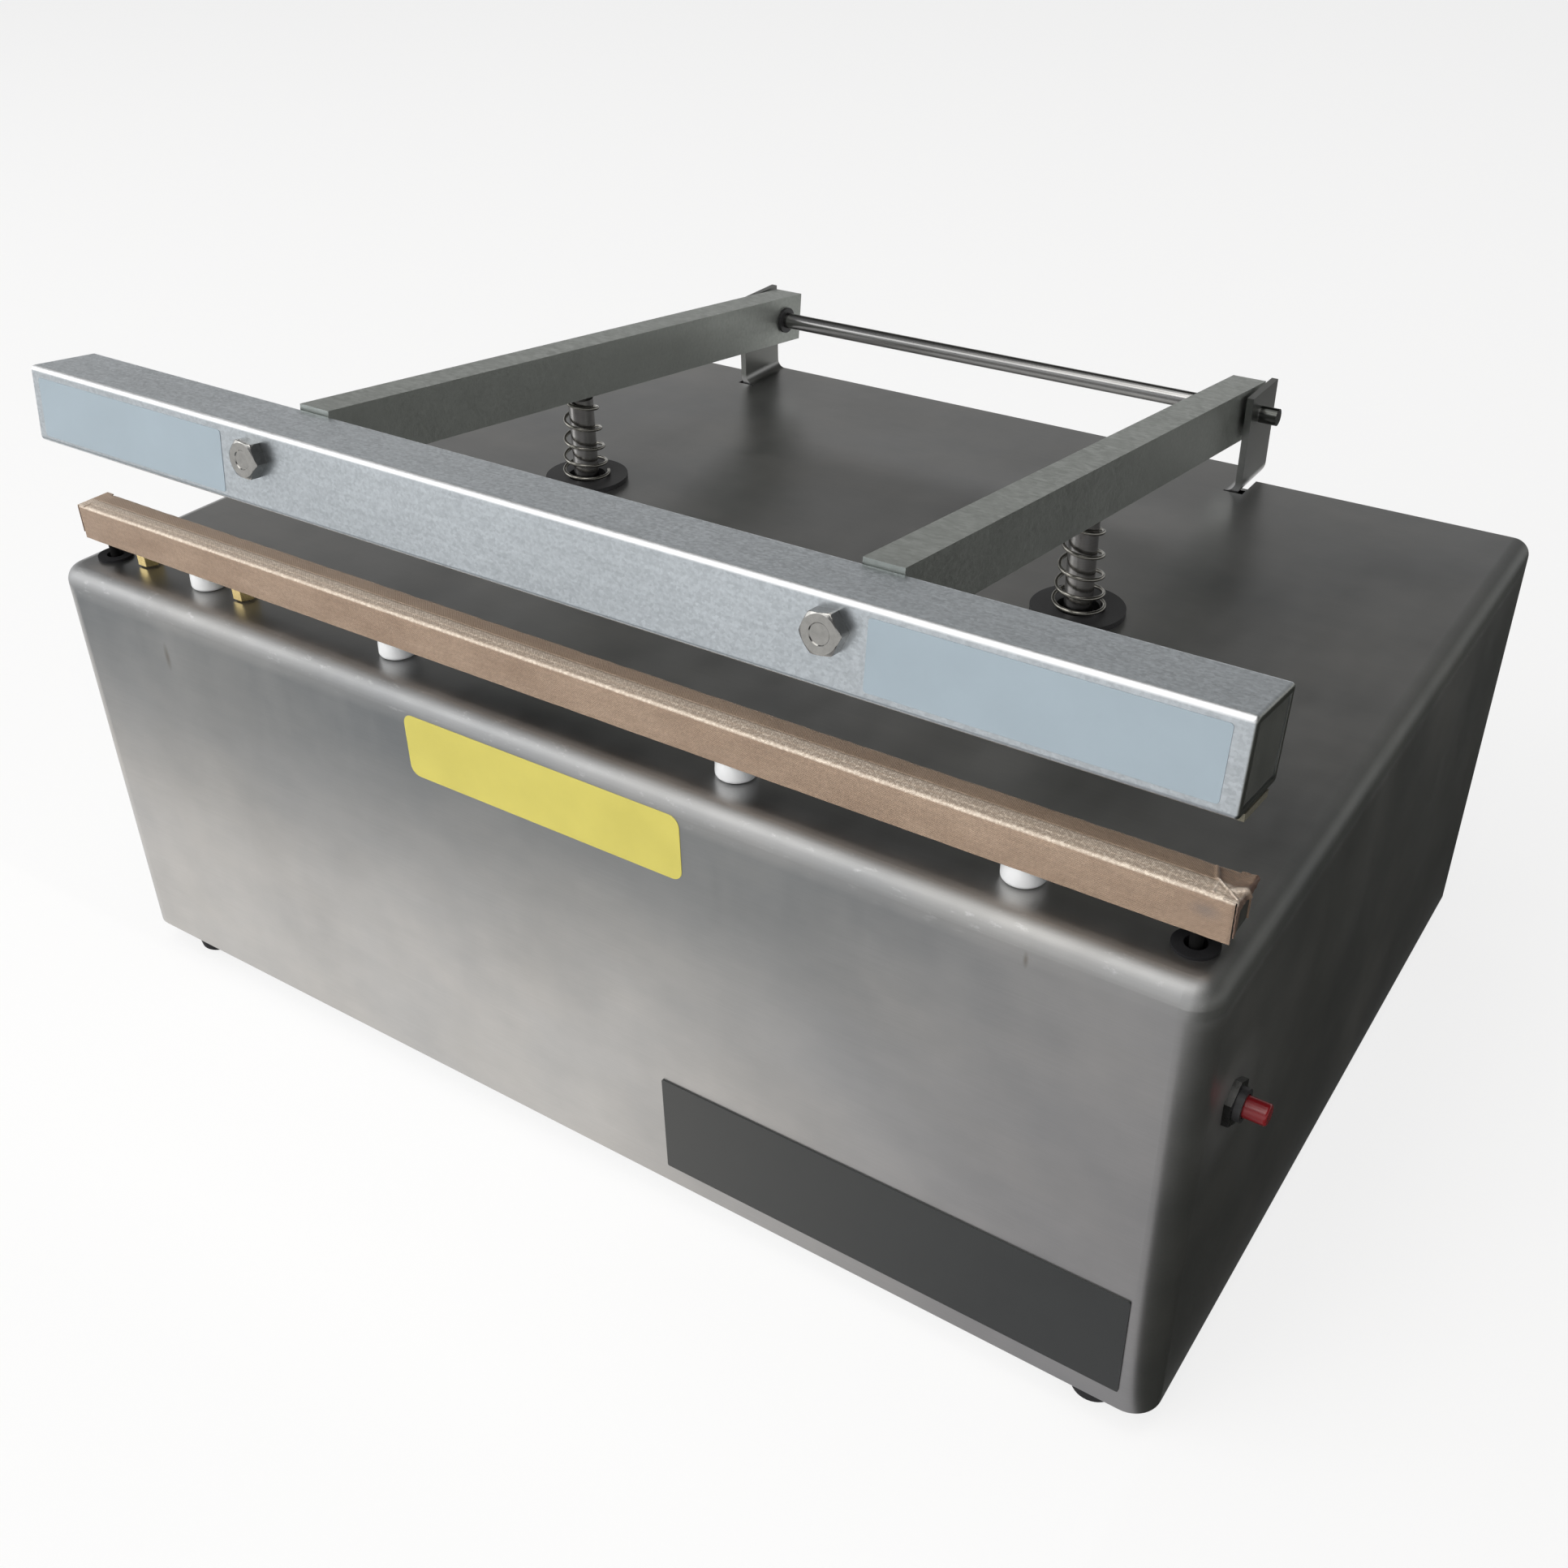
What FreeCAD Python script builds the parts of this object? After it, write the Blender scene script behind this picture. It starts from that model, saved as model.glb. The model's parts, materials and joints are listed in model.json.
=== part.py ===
"""Bench-top impulse bag sealer: a stainless cover with a heated seal bar along its front edge
and a hinged jaw of two arms and a square-tube press bar. Two solenoids inside pull the arms down
and two conical springs lift them again. Millimetres, +Z up, front towards -Y.
"""
import FreeCAD
import Part
import Sketcher
import math
import os

doc = FreeCAD.newDocument("impulse_sealer")
sheet = doc.addObject("Spreadsheet::Sheet", "sizes")

# Driving dimensions, in millimetres and degrees
SIZES = {
    # folded cover and the panels that close it
    "cover_width": 432.0,
    "cover_depth": 292.0,
    "cover_height": 156.5,
    "cover_sheet": 2.5,
    "corner_radius": 9.0,
    "bend_radius": 6.0,
    "bottom_lip": 30.0,
    "rear_lip": 14.0,
    "panel_sheet": 2.0,
    "panel_recess": 2.0,
    "base_sheet": 2.5,
    "panel_gap": 0.5,
    # bare plate on the front
    "plate_width": 159.5,
    "plate_height": 38.0,
    "plate_sheet": 0.5,
    "plate_corner": 0.6,
    "plate_offset": 126.4,
    "plate_rise": 26.5,
    # feet
    "foot_height": 12.0,
    "foot_top": 19.0,
    "foot_bottom": 15.0,
    "foot_side_inset": 21.5,
    "foot_end_inset": 14.0,
    "foot_recess": 5.0,
    # machine screws of the case
    "screw_thread": 4.0,
    "screw_head": 7.6,
    "screw_head_height": 2.4,
    "screw_gap": 0.15,
    "case_screw_margin": 22.0,
    # hinge ears bent up from the top, and the pivot rod
    "ear_depth": 25.0,
    "ear_height": 36.5,
    "ear_clearance": 1.4,
    "tongue_reach": 11.5,
    "relief_gap": 1.0,
    "pivot_inset": 3.0,
    "pivot_height": 27.5,
    "pivot_rod": 6.35,
    "rod_overhang": 6.6,
    "rod_gap": 0.04,
    "bush_wall": 1.2,
    "bush_flange": 10.5,
    "bush_flange_sheet": 1.1,
    # jaw: arms, press bar and pad
    "arm_spacing": 208.0,
    "arm_width": 12.7,
    "arm_height": 19.05,
    "arm_reach": 257.8,
    "arm_tail": 11.5,
    "open_angle": 7.2,
    "bar_margin": 4.0,
    "bar_size": 25.4,
    "bar_wall": 2.0,
    "bar_radius": 1.5,
    "bar_end_round": 1.0,
    "bar_drop": 4.7,
    "plug_depth": 10.0,
    "plug_sink": 0.4,
    "plug_round": 0.6,
    "pad_width": 15.4,
    "pad_thickness": 2.0,
    "bolt_thread": 6.35,
    "bolt_head": 11.1,
    "bolt_head_height": 4.3,
    "bolt_grip": 16.0,
    "bolt_gap": 0.2,
    "bolt_drop": 1.0,
    # seal bar
    "seal_margin": 3.5,
    "seal_width": 12.7,
    "seal_height": 12.7,
    "seal_setback": 19.5,
    "wrap_sheet": 0.4,
    "glass_strip": 0.4,
    "ribbon_sheet": 0.4,
    "ribbon_width": 5.0,
    "standoff_height": 6.5,
    "standoff_diameter": 12.5,
    "standoff_near": 66.0,
    "standoff_inset": 56.5,
    "seal_screw_bite": 6.0,
    "brass_far_inset": 25.0,
    "brass_near_inset": 74.5,
    "brass_head": 7.0,
    "brass_head_height": 4.2,
    "brass_thread": 4.0,
    "brass_gap": 0.6,
    "lead_inset": 9.0,
    "lead_setback": 17.0,
    "lead_diameter": 3.4,
    "lead_drop": 24.0,
    "grommet_flange": 12.2,
    "grommet_lip": 0.9,
    "grommet_neck": 10.0,
    "grommet_bore": 6.0,
    # solenoid plungers, washers and return springs
    "plunger_setback": 159.7,
    "plunger_diameter": 9.5,
    "plunger_length": 80.0,
    "plunger_gap": 0.3,
    "shoulder_gap": 1.0,
    "tang_width": 5.0,
    "tang_depth": 8.0,
    "link_pin": 4.0,
    "link_drop": 4.0,
    "link_play": 1.4,
    "link_gap": 0.3,
    "slot_gap": 0.5,
    "washer_outer": 31.5,
    "washer_thickness": 1.9,
    "washer_ledge": 0.7,
    "washer_wall": 1.0,
    "washer_floor": 1.0,
    "washer_gap": 0.1,
    "spring_wire": 1.3,
    "spring_foot": 18.5,
    "spring_head": 13.0,
    "spring_turns": 4.5,
    "spring_grade": 1.3,
    "spring_gap": 0.3,
    "coil_diameter": 40.0,
    "coil_length": 56.0,
    "frame_width": 48.0,
    "frame_depth": 40.0,
    "frame_plate": 3.0,
    # transformer and timer board on the base
    "core_width": 86.0,
    "core_depth": 46.0,
    "core_height": 72.0,
    "core_limb": 14.0,
    "winding_depth": 64.0,
    "winding_gap": 0.5,
    "transformer_setback": 200.0,
    "core_foot": 14.0,
    "board_width": 110.0,
    "board_depth": 80.0,
    "board_sheet": 1.6,
    "board_setback": 80.0,
    "board_standoff": 8.0,
    "board_post": 7.0,
    "board_margin": 6.0,
    "relay_length": 28.0,
    "relay_width": 14.0,
    "relay_height": 20.0,
    "relay_offset": 24.0,
    "block_length": 60.0,
    "block_width": 12.0,
    "block_height": 14.0,
    # push button of the circuit breaker, in the right side
    "button_setback": 26.5,
    "button_height": 104.0,
    "breaker_width": 16.0,
    "breaker_height": 32.0,
    "breaker_depth": 28.0,
    "neck_diameter": 9.5,
    "neck_proud": 4.0,
    "nut_flats": 12.5,
    "nut_height": 2.0,
    "cap_diameter": 6.2,
    "cap_length": 6.4,
    "cap_stem": 14.0,
    "cap_gap": 0.3,
    "button_travel": 3.0,
    # sockets in the rear panel
    "socket_height": 42.0,
    "inlet_offset": 120.0,
    "inlet_width": 27.0,
    "inlet_height": 20.0,
    "inlet_depth": 20.0,
    "inlet_wall": 1.6,
    "inlet_flange": 2.5,
    "inlet_rim": 2.2,
    "inlet_recess": 15.0,
    "blade_width": 4.0,
    "blade_sheet": 2.0,
    "blade_length": 12.0,
    "blade_spread": 7.0,
    "blade_rise": 3.5,
    "jack_offset": 70.0,
    "jack_thread": 9.5,
    "jack_bore": 6.6,
    "jack_proud": 5.0,
    "jack_body": 15.0,
    "jack_length": 24.0,
    "jack_nut": 12.0,
    "jack_nut_height": 2.5,
}
for row, (alias, number) in enumerate(SIZES.items(), start=1):
    sheet.set(f"A{row}", str(number))
    sheet.setAlias(f"A{row}", alias)
doc.recompute()


def value(expression):
    """The number that an expression of the sheet comes to."""
    return float(sheet.evalExpression(str(expression)))


# Places in the case frame: origin at the middle of the cover's lower front edge
TOP = "sizes.cover_height"
UNDERSIDE = "(sizes.cover_height - sizes.cover_sheet)"
HALF_INSIDE = "(sizes.cover_width / 2 - sizes.cover_sheet)"
PANEL_FACE = "(sizes.cover_depth - sizes.panel_recess)"
PANEL_BACK = f"({PANEL_FACE} - sizes.panel_sheet)"
BASE_TOP = "(sizes.cover_sheet + sizes.base_sheet)"
ARM_SIDE = "(sizes.arm_spacing / 2)"
PIVOT_Y = "(sizes.cover_depth - sizes.pivot_inset)"
PIVOT_Z = "(sizes.cover_height + sizes.pivot_height)"
EAR_INNER = f"({ARM_SIDE} + sizes.arm_width / 2 + sizes.ear_clearance)"
EAR_OUTER = f"({EAR_INNER} + sizes.cover_sheet)"
SEAL_FLOOR = "(sizes.cover_height + sizes.standoff_height)"
SEAL_END = "(sizes.cover_width / 2 - sizes.seal_margin)"
BAR_END = "(sizes.cover_width / 2 - sizes.bar_margin)"
WASHER_TOP = "(sizes.cover_height + sizes.washer_thickness)"
WASHER_CUP = "(sizes.spring_foot - 2 * sizes.spring_wire - 2 * sizes.washer_ledge)"
WASHER_NECK = f"({WASHER_CUP} + 2 * sizes.washer_wall)"

# Frames in which the pieces are drawn: the case, and the jaw about its pivot, held open
CASE = (
    "-(sizes.neck_proud + sizes.cap_length) / 2",
    "-(sizes.cover_depth + sizes.tongue_reach - sizes.plate_sheet) / 2",
    "sizes.foot_height",
)
JAW = (CASE[0], f"{CASE[1]} + {PIVOT_Y}", f"{CASE[2]} + {PIVOT_Z}")

PARTS = []


def place(item, frame):
    """Puts a finished piece into its frame. The jaw leans back by its open angle."""
    if frame is JAW:
        item.Placement.Rotation = FreeCAD.Rotation(FreeCAD.Vector(-1, 0, 0), SIZES["open_angle"])
        item.setExpression("Placement.Rotation.Angle", "sizes.open_angle")
    for axis, expression in zip("xyz", frame):
        item.setExpression(f"Placement.Base.{axis}", expression)


def about(middle, width):
    """The pair of low and high expressions of a width centred on a place."""
    return (f"({middle}) - ({width}) / 2", f"({middle}) + ({width}) / 2")


def box(x, y, z):
    """A Part::Box between pairs of low and high expressions along each axis."""
    solid = doc.addObject("Part::Box", "block")
    for side, axis, (low, high) in zip(("Length", "Width", "Height"), "xyz", (x, y, z)):
        solid.setExpression(side, f"({high}) - ({low})")
        solid.setExpression(f"Placement.Base.{axis}", str(low))
    return solid


TURNS = {
    "x": FreeCAD.Rotation(FreeCAD.Vector(0, 1, 0), 90),
    "y": FreeCAD.Rotation(FreeCAD.Vector(1, 0, 0), -90),
    "z": FreeCAD.Rotation(),
}


def rod(axis, at, diameter, length):
    """A Part::Cylinder along one axis, from its starting point."""
    solid = doc.addObject("Part::Cylinder", "rod")
    solid.Placement.Rotation = TURNS[axis]
    solid.setExpression("Radius", f"({diameter}) / 2")
    solid.setExpression("Height", str(length))
    for name, expression in zip("xyz", at):
        solid.setExpression(f"Placement.Base.{name}", str(expression))
    return solid


def hexagon(axis, at, flats, length):
    """A Part::Prism of six sides along one axis, sized across its flats."""
    solid = doc.addObject("Part::Prism", "hexagon")
    solid.Polygon = 6
    solid.Placement.Rotation = TURNS[axis]
    solid.setExpression("Circumradius", f"({flats}) / 2 / cos(30 deg)")
    solid.setExpression("Height", str(length))
    for name, expression in zip("xyz", at):
        solid.setExpression(f"Placement.Base.{name}", str(expression))
    return solid


def fuse(*shapes):
    joined = doc.addObject("Part::MultiFuse", "joined")
    joined.Shapes = list(shapes)
    joined.Refine = True
    return joined


def cut(base, *tools):
    left = doc.addObject("Part::Cut", "cut")
    left.Base = base
    left.Tool = tools[0] if len(tools) == 1 else fuse(*tools)
    return left


def node(label, frame, *solids):
    """One named piece, or a group of like pieces, in its frame."""
    piece = doc.addObject("Part::Compound", label)
    piece.Links = list(solids)
    piece.Label = label
    place(piece, frame)
    PARTS.append(piece)
    return piece


def body(label, frame):
    """A PartDesign body that is one named piece."""
    piece = doc.addObject("PartDesign::Body", label)
    piece.Label = label
    place(piece, frame)
    PARTS.append(piece)
    return piece


def sketch(piece, plane, offset="0"):
    """A sketch on one of the body's own origin planes, moved along the plane's normal."""
    drawn = piece.newObject("Sketcher::SketchObject", "outline")
    support = [f for f in piece.Origin.OriginFeatures if f.Role == plane][0]
    drawn.AttachmentSupport = [(support, "")]
    drawn.MapMode = "FlatFace"
    drawn.setExpression("AttachmentOffset.Base.z", offset)
    return drawn


def tie(drawn, kind, geometry, point, expression):
    """Binds a sketch point's distance from the origin to an expression."""
    index = drawn.addConstraint(
        Sketcher.Constraint(kind, -1, 1, geometry, point, value(expression))
    )
    drawn.setExpression(f"Constraints[{index}]", expression)


def polygon(drawn, points):
    """A closed outline of straight lines through points given as expressions."""
    first = drawn.GeometryCount
    count = len(points)
    spots = [FreeCAD.Vector(value(x), value(y), 0) for x, y in points]
    for i in range(count):
        drawn.addGeometry(Part.LineSegment(spots[i], spots[(i + 1) % count]), False)
    for i in range(count):
        following = first + (i + 1) % count
        drawn.addConstraint(Sketcher.Constraint("Coincident", first + i, 2, following, 1))
    for i, (x, y) in enumerate(points):
        tie(drawn, "DistanceX", first + i, 1, x)
        tie(drawn, "DistanceY", first + i, 1, y)


def rectangle(drawn, left, right, low, high):
    polygon(drawn, [(left, low), (right, low), (right, high), (left, high)])


def circle(drawn, x, y, diameter):
    centre = FreeCAD.Vector(value(x), value(y), 0)
    normal = FreeCAD.Vector(0, 0, 1)
    index = drawn.addGeometry(Part.Circle(centre, normal, value(diameter) / 2), False)
    tie(drawn, "DistanceX", index, 3, x)
    tie(drawn, "DistanceY", index, 3, y)
    size = drawn.addConstraint(Sketcher.Constraint("Diameter", index, value(diameter)))
    drawn.setExpression(f"Constraints[{size}]", diameter)


def pad(piece, drawn, length, backwards=False):
    feature = piece.newObject("PartDesign::Pad", "pad")
    feature.Profile = drawn
    feature.Reversed = backwards
    feature.setExpression("Length", length)
    doc.recompute()
    return feature


def pocket(piece, drawn, length, backwards=False):
    """A pocket of a stated depth, which has to take material away."""
    before = piece.Tip.Shape.Volume
    feature = piece.newObject("PartDesign::Pocket", "pocket")
    feature.Profile = drawn
    feature.Reversed = backwards
    feature.setExpression("Length", length)
    doc.recompute()
    if not feature.Shape.Volume < before:
        raise RuntimeError(f"a pocket of {piece.Label} cuts nothing")
    return feature


def round_edges(piece, radius, picked):
    """Fillets the edges of the body's present shape that the test picks."""
    base = piece.Tip
    names = [f"Edge{i}" for i, edge in enumerate(base.Shape.Edges, start=1) if picked(edge)]
    feature = piece.newObject("PartDesign::Fillet", "rounded")
    feature.Base = (base, names)
    feature.setExpression("Radius", radius)
    doc.recompute()
    return feature


NEAR = 1e-4


def lies(edge, **where):
    """True if both ends and the middle of an edge have the stated coordinates."""
    ends = [edge.valueAt(edge.FirstParameter), edge.valueAt(edge.LastParameter)]
    ends.append(edge.valueAt((edge.FirstParameter + edge.LastParameter) / 2))
    return all(abs(abs(getattr(p, axis)) - at) < NEAR for p in ends for axis, at in where.items())


# Cover: one stainless sheet for the front, sides and top, with the hinge ears bent up at the rear
cover = body("housing_cover", CASE)
plan = sketch(cover, "XY_Plane")
rectangle(plan, "-sizes.cover_width / 2", "sizes.cover_width / 2", "0", "sizes.cover_depth")
pad(cover, plan, TOP)
half_width = value("sizes.cover_width / 2")
cover_top = value(TOP)
cover_rear = value("sizes.cover_depth")
round_edges(cover, "sizes.corner_radius", lambda e: lies(e, x=half_width, y=0))


def top_rim(edge):
    return lies(edge, z=cover_top) and not lies(edge, z=cover_top, y=cover_rear)


round_edges(cover, "sizes.bend_radius", top_rim)
walls = cover.Tip
open_faces = []
for i, face in enumerate(walls.Shape.Faces, start=1):
    middle = face.CenterOfMass
    if abs(middle.z) < NEAR or abs(middle.y - cover_rear) < NEAR:
        open_faces.append(f"Face{i}")
hollow = cover.newObject("PartDesign::Thickness", "hollow")
hollow.Base = (walls, open_faces)
hollow.setExpression("Value", "sizes.cover_sheet")
hollow.Reversed = True
hollow.Join = 1
doc.recompute()
if not hollow.Shape.Volume < walls.Shape.Volume / 2:
    raise RuntimeError("the cover is not hollow")

lips = sketch(cover, "XY_Plane")
for side in ("-1", "1"):
    lip_ends = [
        (f"{side} * ({HALF_INSIDE} + sizes.cover_sheet / 2)", "2 * sizes.cover_sheet"),
        (f"{side} * ({HALF_INSIDE} - sizes.bottom_lip)", "2 * sizes.cover_sheet"),
        (f"{side} * ({HALF_INSIDE} - sizes.bottom_lip)", PANEL_BACK),
        (f"{side} * ({HALF_INSIDE} + sizes.cover_sheet / 2)", PANEL_BACK),
    ]
    polygon(lips, lip_ends)
pad(cover, lips, "sizes.cover_sheet")

rear_lips = sketch(cover, "XY_Plane", "sizes.cover_sheet / 2")
for side in ("-1", "1"):
    lip_corners = [
        (f"{side} * ({HALF_INSIDE} + sizes.cover_sheet / 2)", f"{PANEL_BACK} - sizes.cover_sheet"),
        (f"{side} * ({HALF_INSIDE} - sizes.rear_lip)", f"{PANEL_BACK} - sizes.cover_sheet"),
        (f"{side} * ({HALF_INSIDE} - sizes.rear_lip)", PANEL_BACK),
        (f"{side} * ({HALF_INSIDE} + sizes.cover_sheet / 2)", PANEL_BACK),
    ]
    polygon(rear_lips, lip_corners)
pad(cover, rear_lips, f"{TOP} - sizes.cover_sheet - sizes.bend_radius")

relief = sketch(cover, "XY_Plane", TOP)
EAR_FRONT = "(sizes.cover_depth + sizes.tongue_reach - sizes.ear_depth)"
NOTCH_FRONT = f"{EAR_FRONT} - sizes.relief_gap"
NOTCH_BACK = "sizes.cover_depth + 1"
for side in ("-1", "1"):
    notch_near = f"{side} * ({EAR_OUTER} - sizes.bend_radius - sizes.panel_gap)"
    notch_far = f"{side} * ({EAR_OUTER} + sizes.relief_gap)"
    notch = [
        (notch_near, NOTCH_FRONT),
        (notch_far, NOTCH_FRONT),
        (notch_far, NOTCH_BACK),
        (notch_near, NOTCH_BACK),
    ]
    polygon(relief, notch)
pocket(cover, relief, "sizes.cover_sheet + 1")

ears = sketch(cover, "XZ_Plane", f"-{EAR_FRONT}")
ear_tip = f"{TOP} + sizes.ear_height"
ear_outline = [
    (f"-{EAR_OUTER}", UNDERSIDE),
    (EAR_OUTER, UNDERSIDE),
    (EAR_OUTER, ear_tip),
    (EAR_INNER, ear_tip),
    (EAR_INNER, TOP),
    (f"-{EAR_INNER}", TOP),
    (f"-{EAR_INNER}", ear_tip),
    (f"-{EAR_OUTER}", ear_tip),
]
polygon(ears, ear_outline)
pad(cover, ears, "sizes.ear_depth", backwards=True)
ear_outer = value(EAR_OUTER)
ear_inner = value(EAR_INNER)
sheet_under = value(UNDERSIDE)
round_edges(cover, "sizes.bend_radius", lambda e: lies(e, x=ear_outer, z=sheet_under))
round_edges(
    cover, "sizes.bend_radius - sizes.cover_sheet", lambda e: lies(e, x=ear_inner, z=cover_top)
)

rod_holes = sketch(cover, "YZ_Plane", f"-({EAR_OUTER} + 1)")
circle(rod_holes, PIVOT_Y, PIVOT_Z, "sizes.pivot_rod + 2 * sizes.rod_gap")
pocket(cover, rod_holes, f"2 * {EAR_OUTER} + 2", backwards=True)

top_holes = sketch(cover, "XY_Plane", f"{TOP} + 1")
STANDOFF_FAR = f"({SEAL_END} - sizes.standoff_inset)"
STANDOFF_PLACES = [
    f"{side}{distance}" for side in ("-", "") for distance in (STANDOFF_FAR, "sizes.standoff_near")
]
LEAD_X = f"({SEAL_END} - sizes.lead_inset)"
for place_x in STANDOFF_PLACES:
    circle(top_holes, place_x, "sizes.seal_setback", "sizes.screw_thread + 2 * sizes.screw_gap")
for side in ("-", ""):
    circle(top_holes, f"{side}{ARM_SIDE}", "sizes.plunger_setback", f"{WASHER_NECK} + 2 * sizes.washer_gap")
    circle(top_holes, f"{side}{LEAD_X}", "sizes.lead_setback", "sizes.grommet_neck")
pocket(cover, top_holes, "sizes.cover_sheet + 2")

button_hole = sketch(cover, "YZ_Plane", "sizes.cover_width / 2 + 1")
NECK_HOLE = "sizes.neck_diameter + 2 * sizes.screw_gap"
circle(button_hole, "sizes.button_setback", "sizes.button_height", NECK_HOLE)
pocket(cover, button_hole, "sizes.cover_sheet + 2")

FOOT_X = "(sizes.cover_width / 2 - sizes.foot_side_inset)"
FOOT_REAR = "(sizes.cover_depth - sizes.foot_end_inset - sizes.panel_recess)"
FOOT_SPOTS = [
    (f"{side}{FOOT_X}", y) for side in ("-", "") for y in ("sizes.foot_end_inset", FOOT_REAR)
]
LIP_X = f"({HALF_INSIDE} - sizes.bottom_lip / 2)"
BASE_SCREW_ROWS = ("sizes.cover_depth / 4", "sizes.cover_depth / 2", "sizes.cover_depth * 3 / 4")
BASE_SCREW_SPOTS = [(f"{side}{LIP_X}", y) for side in ("-", "") for y in BASE_SCREW_ROWS]
SCREW_HOLE = "sizes.screw_thread + 2 * sizes.screw_gap"
lip_holes = sketch(cover, "XY_Plane", "-1")
for x, y in FOOT_SPOTS + BASE_SCREW_SPOTS:
    circle(lip_holes, x, y, SCREW_HOLE)
pocket(cover, lip_holes, "sizes.cover_sheet + 2", backwards=True)

PANEL_SCREW_X = f"({HALF_INSIDE} - sizes.rear_lip / 2)"
PANEL_SCREW_ROWS = (
    "sizes.case_screw_margin",
    "sizes.cover_height / 2",
    "(sizes.cover_height - sizes.case_screw_margin)",
)
PANEL_SCREW_SPOTS = [(f"{side}{PANEL_SCREW_X}", z) for side in ("-", "") for z in PANEL_SCREW_ROWS]
rear_holes = sketch(cover, "XZ_Plane", f"-({PANEL_BACK} + 1)")
for x, z in PANEL_SCREW_SPOTS:
    circle(rear_holes, x, z, SCREW_HOLE)
pocket(cover, rear_holes, "sizes.cover_sheet + 2", backwards=True)

# Plate glued to the front, with nothing on it
plate = body("front_plate", CASE)
plate_plan = sketch(plate, "XZ_Plane")
rectangle(
    plate_plan,
    "sizes.plate_offset - sizes.plate_width / 2",
    "sizes.plate_offset + sizes.plate_width / 2",
    "sizes.plate_rise - sizes.plate_height / 2",
    "sizes.plate_rise + sizes.plate_height / 2",
)
pad(plate, plate_plan, "sizes.plate_sheet")


def along_y(edge):
    ends = edge.valueAt(edge.FirstParameter) - edge.valueAt(edge.LastParameter)
    return abs(ends.y) > NEAR and abs(ends.x) < NEAR and abs(ends.z) < NEAR


round_edges(plate, "sizes.plate_corner", along_y)

# Rear panel, screwed to the cover's lips, with the cut-outs of its two sockets
panel = body("rear_panel", CASE)
panel_plan = sketch(panel, "XZ_Plane", f"-{PANEL_BACK}")
PANEL_HALF = f"({HALF_INSIDE} - sizes.panel_gap)"
rectangle(panel_plan, f"-{PANEL_HALF}", PANEL_HALF, "sizes.panel_gap", f"{UNDERSIDE} - sizes.panel_gap")
for x, z in PANEL_SCREW_SPOTS:
    circle(panel_plan, x, z, SCREW_HOLE)
rectangle(
    panel_plan,
    "-sizes.inlet_offset - sizes.inlet_width / 2",
    "-sizes.inlet_offset + sizes.inlet_width / 2",
    "sizes.socket_height - sizes.inlet_height / 2",
    "sizes.socket_height + sizes.inlet_height / 2",
)
JACK_HOLE = "sizes.jack_thread + 2 * sizes.screw_gap"
circle(panel_plan, "-sizes.jack_offset", "sizes.socket_height", JACK_HOLE)
pad(panel, panel_plan, "sizes.panel_sheet", backwards=True)
panel_side = value(PANEL_HALF)
panel_high = value(f"{UNDERSIDE} - sizes.panel_gap")
round_edges(panel, "sizes.bend_radius", lambda e: lies(e, x=panel_side, z=panel_high))

# Base plate on the cover's bottom lips
base = body("base_plate", CASE)
base_plan = sketch(base, "XY_Plane", "sizes.cover_sheet")
rectangle(
    base_plan,
    f"-{PANEL_HALF}",
    PANEL_HALF,
    "sizes.cover_sheet + sizes.panel_gap",
    f"{PANEL_BACK} - sizes.cover_sheet - sizes.panel_gap",
)
for x, y in FOOT_SPOTS + BASE_SCREW_SPOTS:
    circle(base_plan, x, y, SCREW_HOLE)
CORE_BOLT_X = "(sizes.core_width / 2 + sizes.core_foot / 2)"
BOARD_X = "(sizes.board_width / 2 - sizes.board_margin)"
BOARD_Y = "(sizes.board_depth / 2 - sizes.board_margin)"
BOARD_SPOTS = [
    (f"{sx}{BOARD_X}", f"sizes.board_setback {sy} {BOARD_Y}") for sx in ("-", "") for sy in ("-", "+")
]
for side in ("-", ""):
    circle(base_plan, f"{side}{CORE_BOLT_X}", "sizes.transformer_setback", SCREW_HOLE)
pad(base, base_plan, "sizes.base_sheet")
base_side = value(PANEL_HALF)
base_front = value("sizes.cover_sheet + sizes.panel_gap")
round_edges(base, "sizes.corner_radius", lambda e: lies(e, x=base_side, y=base_front))


def screw(axis, at, length, outwards):
    """A pan-head screw with its head seated at a point, head up the axis if outwards."""
    step = "xyz".index(axis)
    seat = at[step]
    head_at = list(at)
    thread_at = list(at)
    if outwards:
        thread_at[step] = f"({seat}) - ({length})"
    else:
        head_at[step] = f"({seat}) - sizes.screw_head_height"
    head = rod(axis, head_at, "sizes.screw_head", "sizes.screw_head_height")
    thread = rod(axis, thread_at, "sizes.screw_thread", length)
    return fuse(head, thread)


PANEL_BITE = "sizes.panel_sheet + sizes.cover_sheet + 3"
node(
    "panel_screws",
    CASE,
    *[screw("y", (x, PANEL_FACE, z), PANEL_BITE, outwards=True) for x, z in PANEL_SCREW_SPOTS],
)
BASE_BITE = "sizes.cover_sheet + sizes.base_sheet + 2"
node(
    "base_screws",
    CASE,
    *[screw("z", (x, y, "0"), BASE_BITE, outwards=False) for x, y in BASE_SCREW_SPOTS],
)

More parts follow.
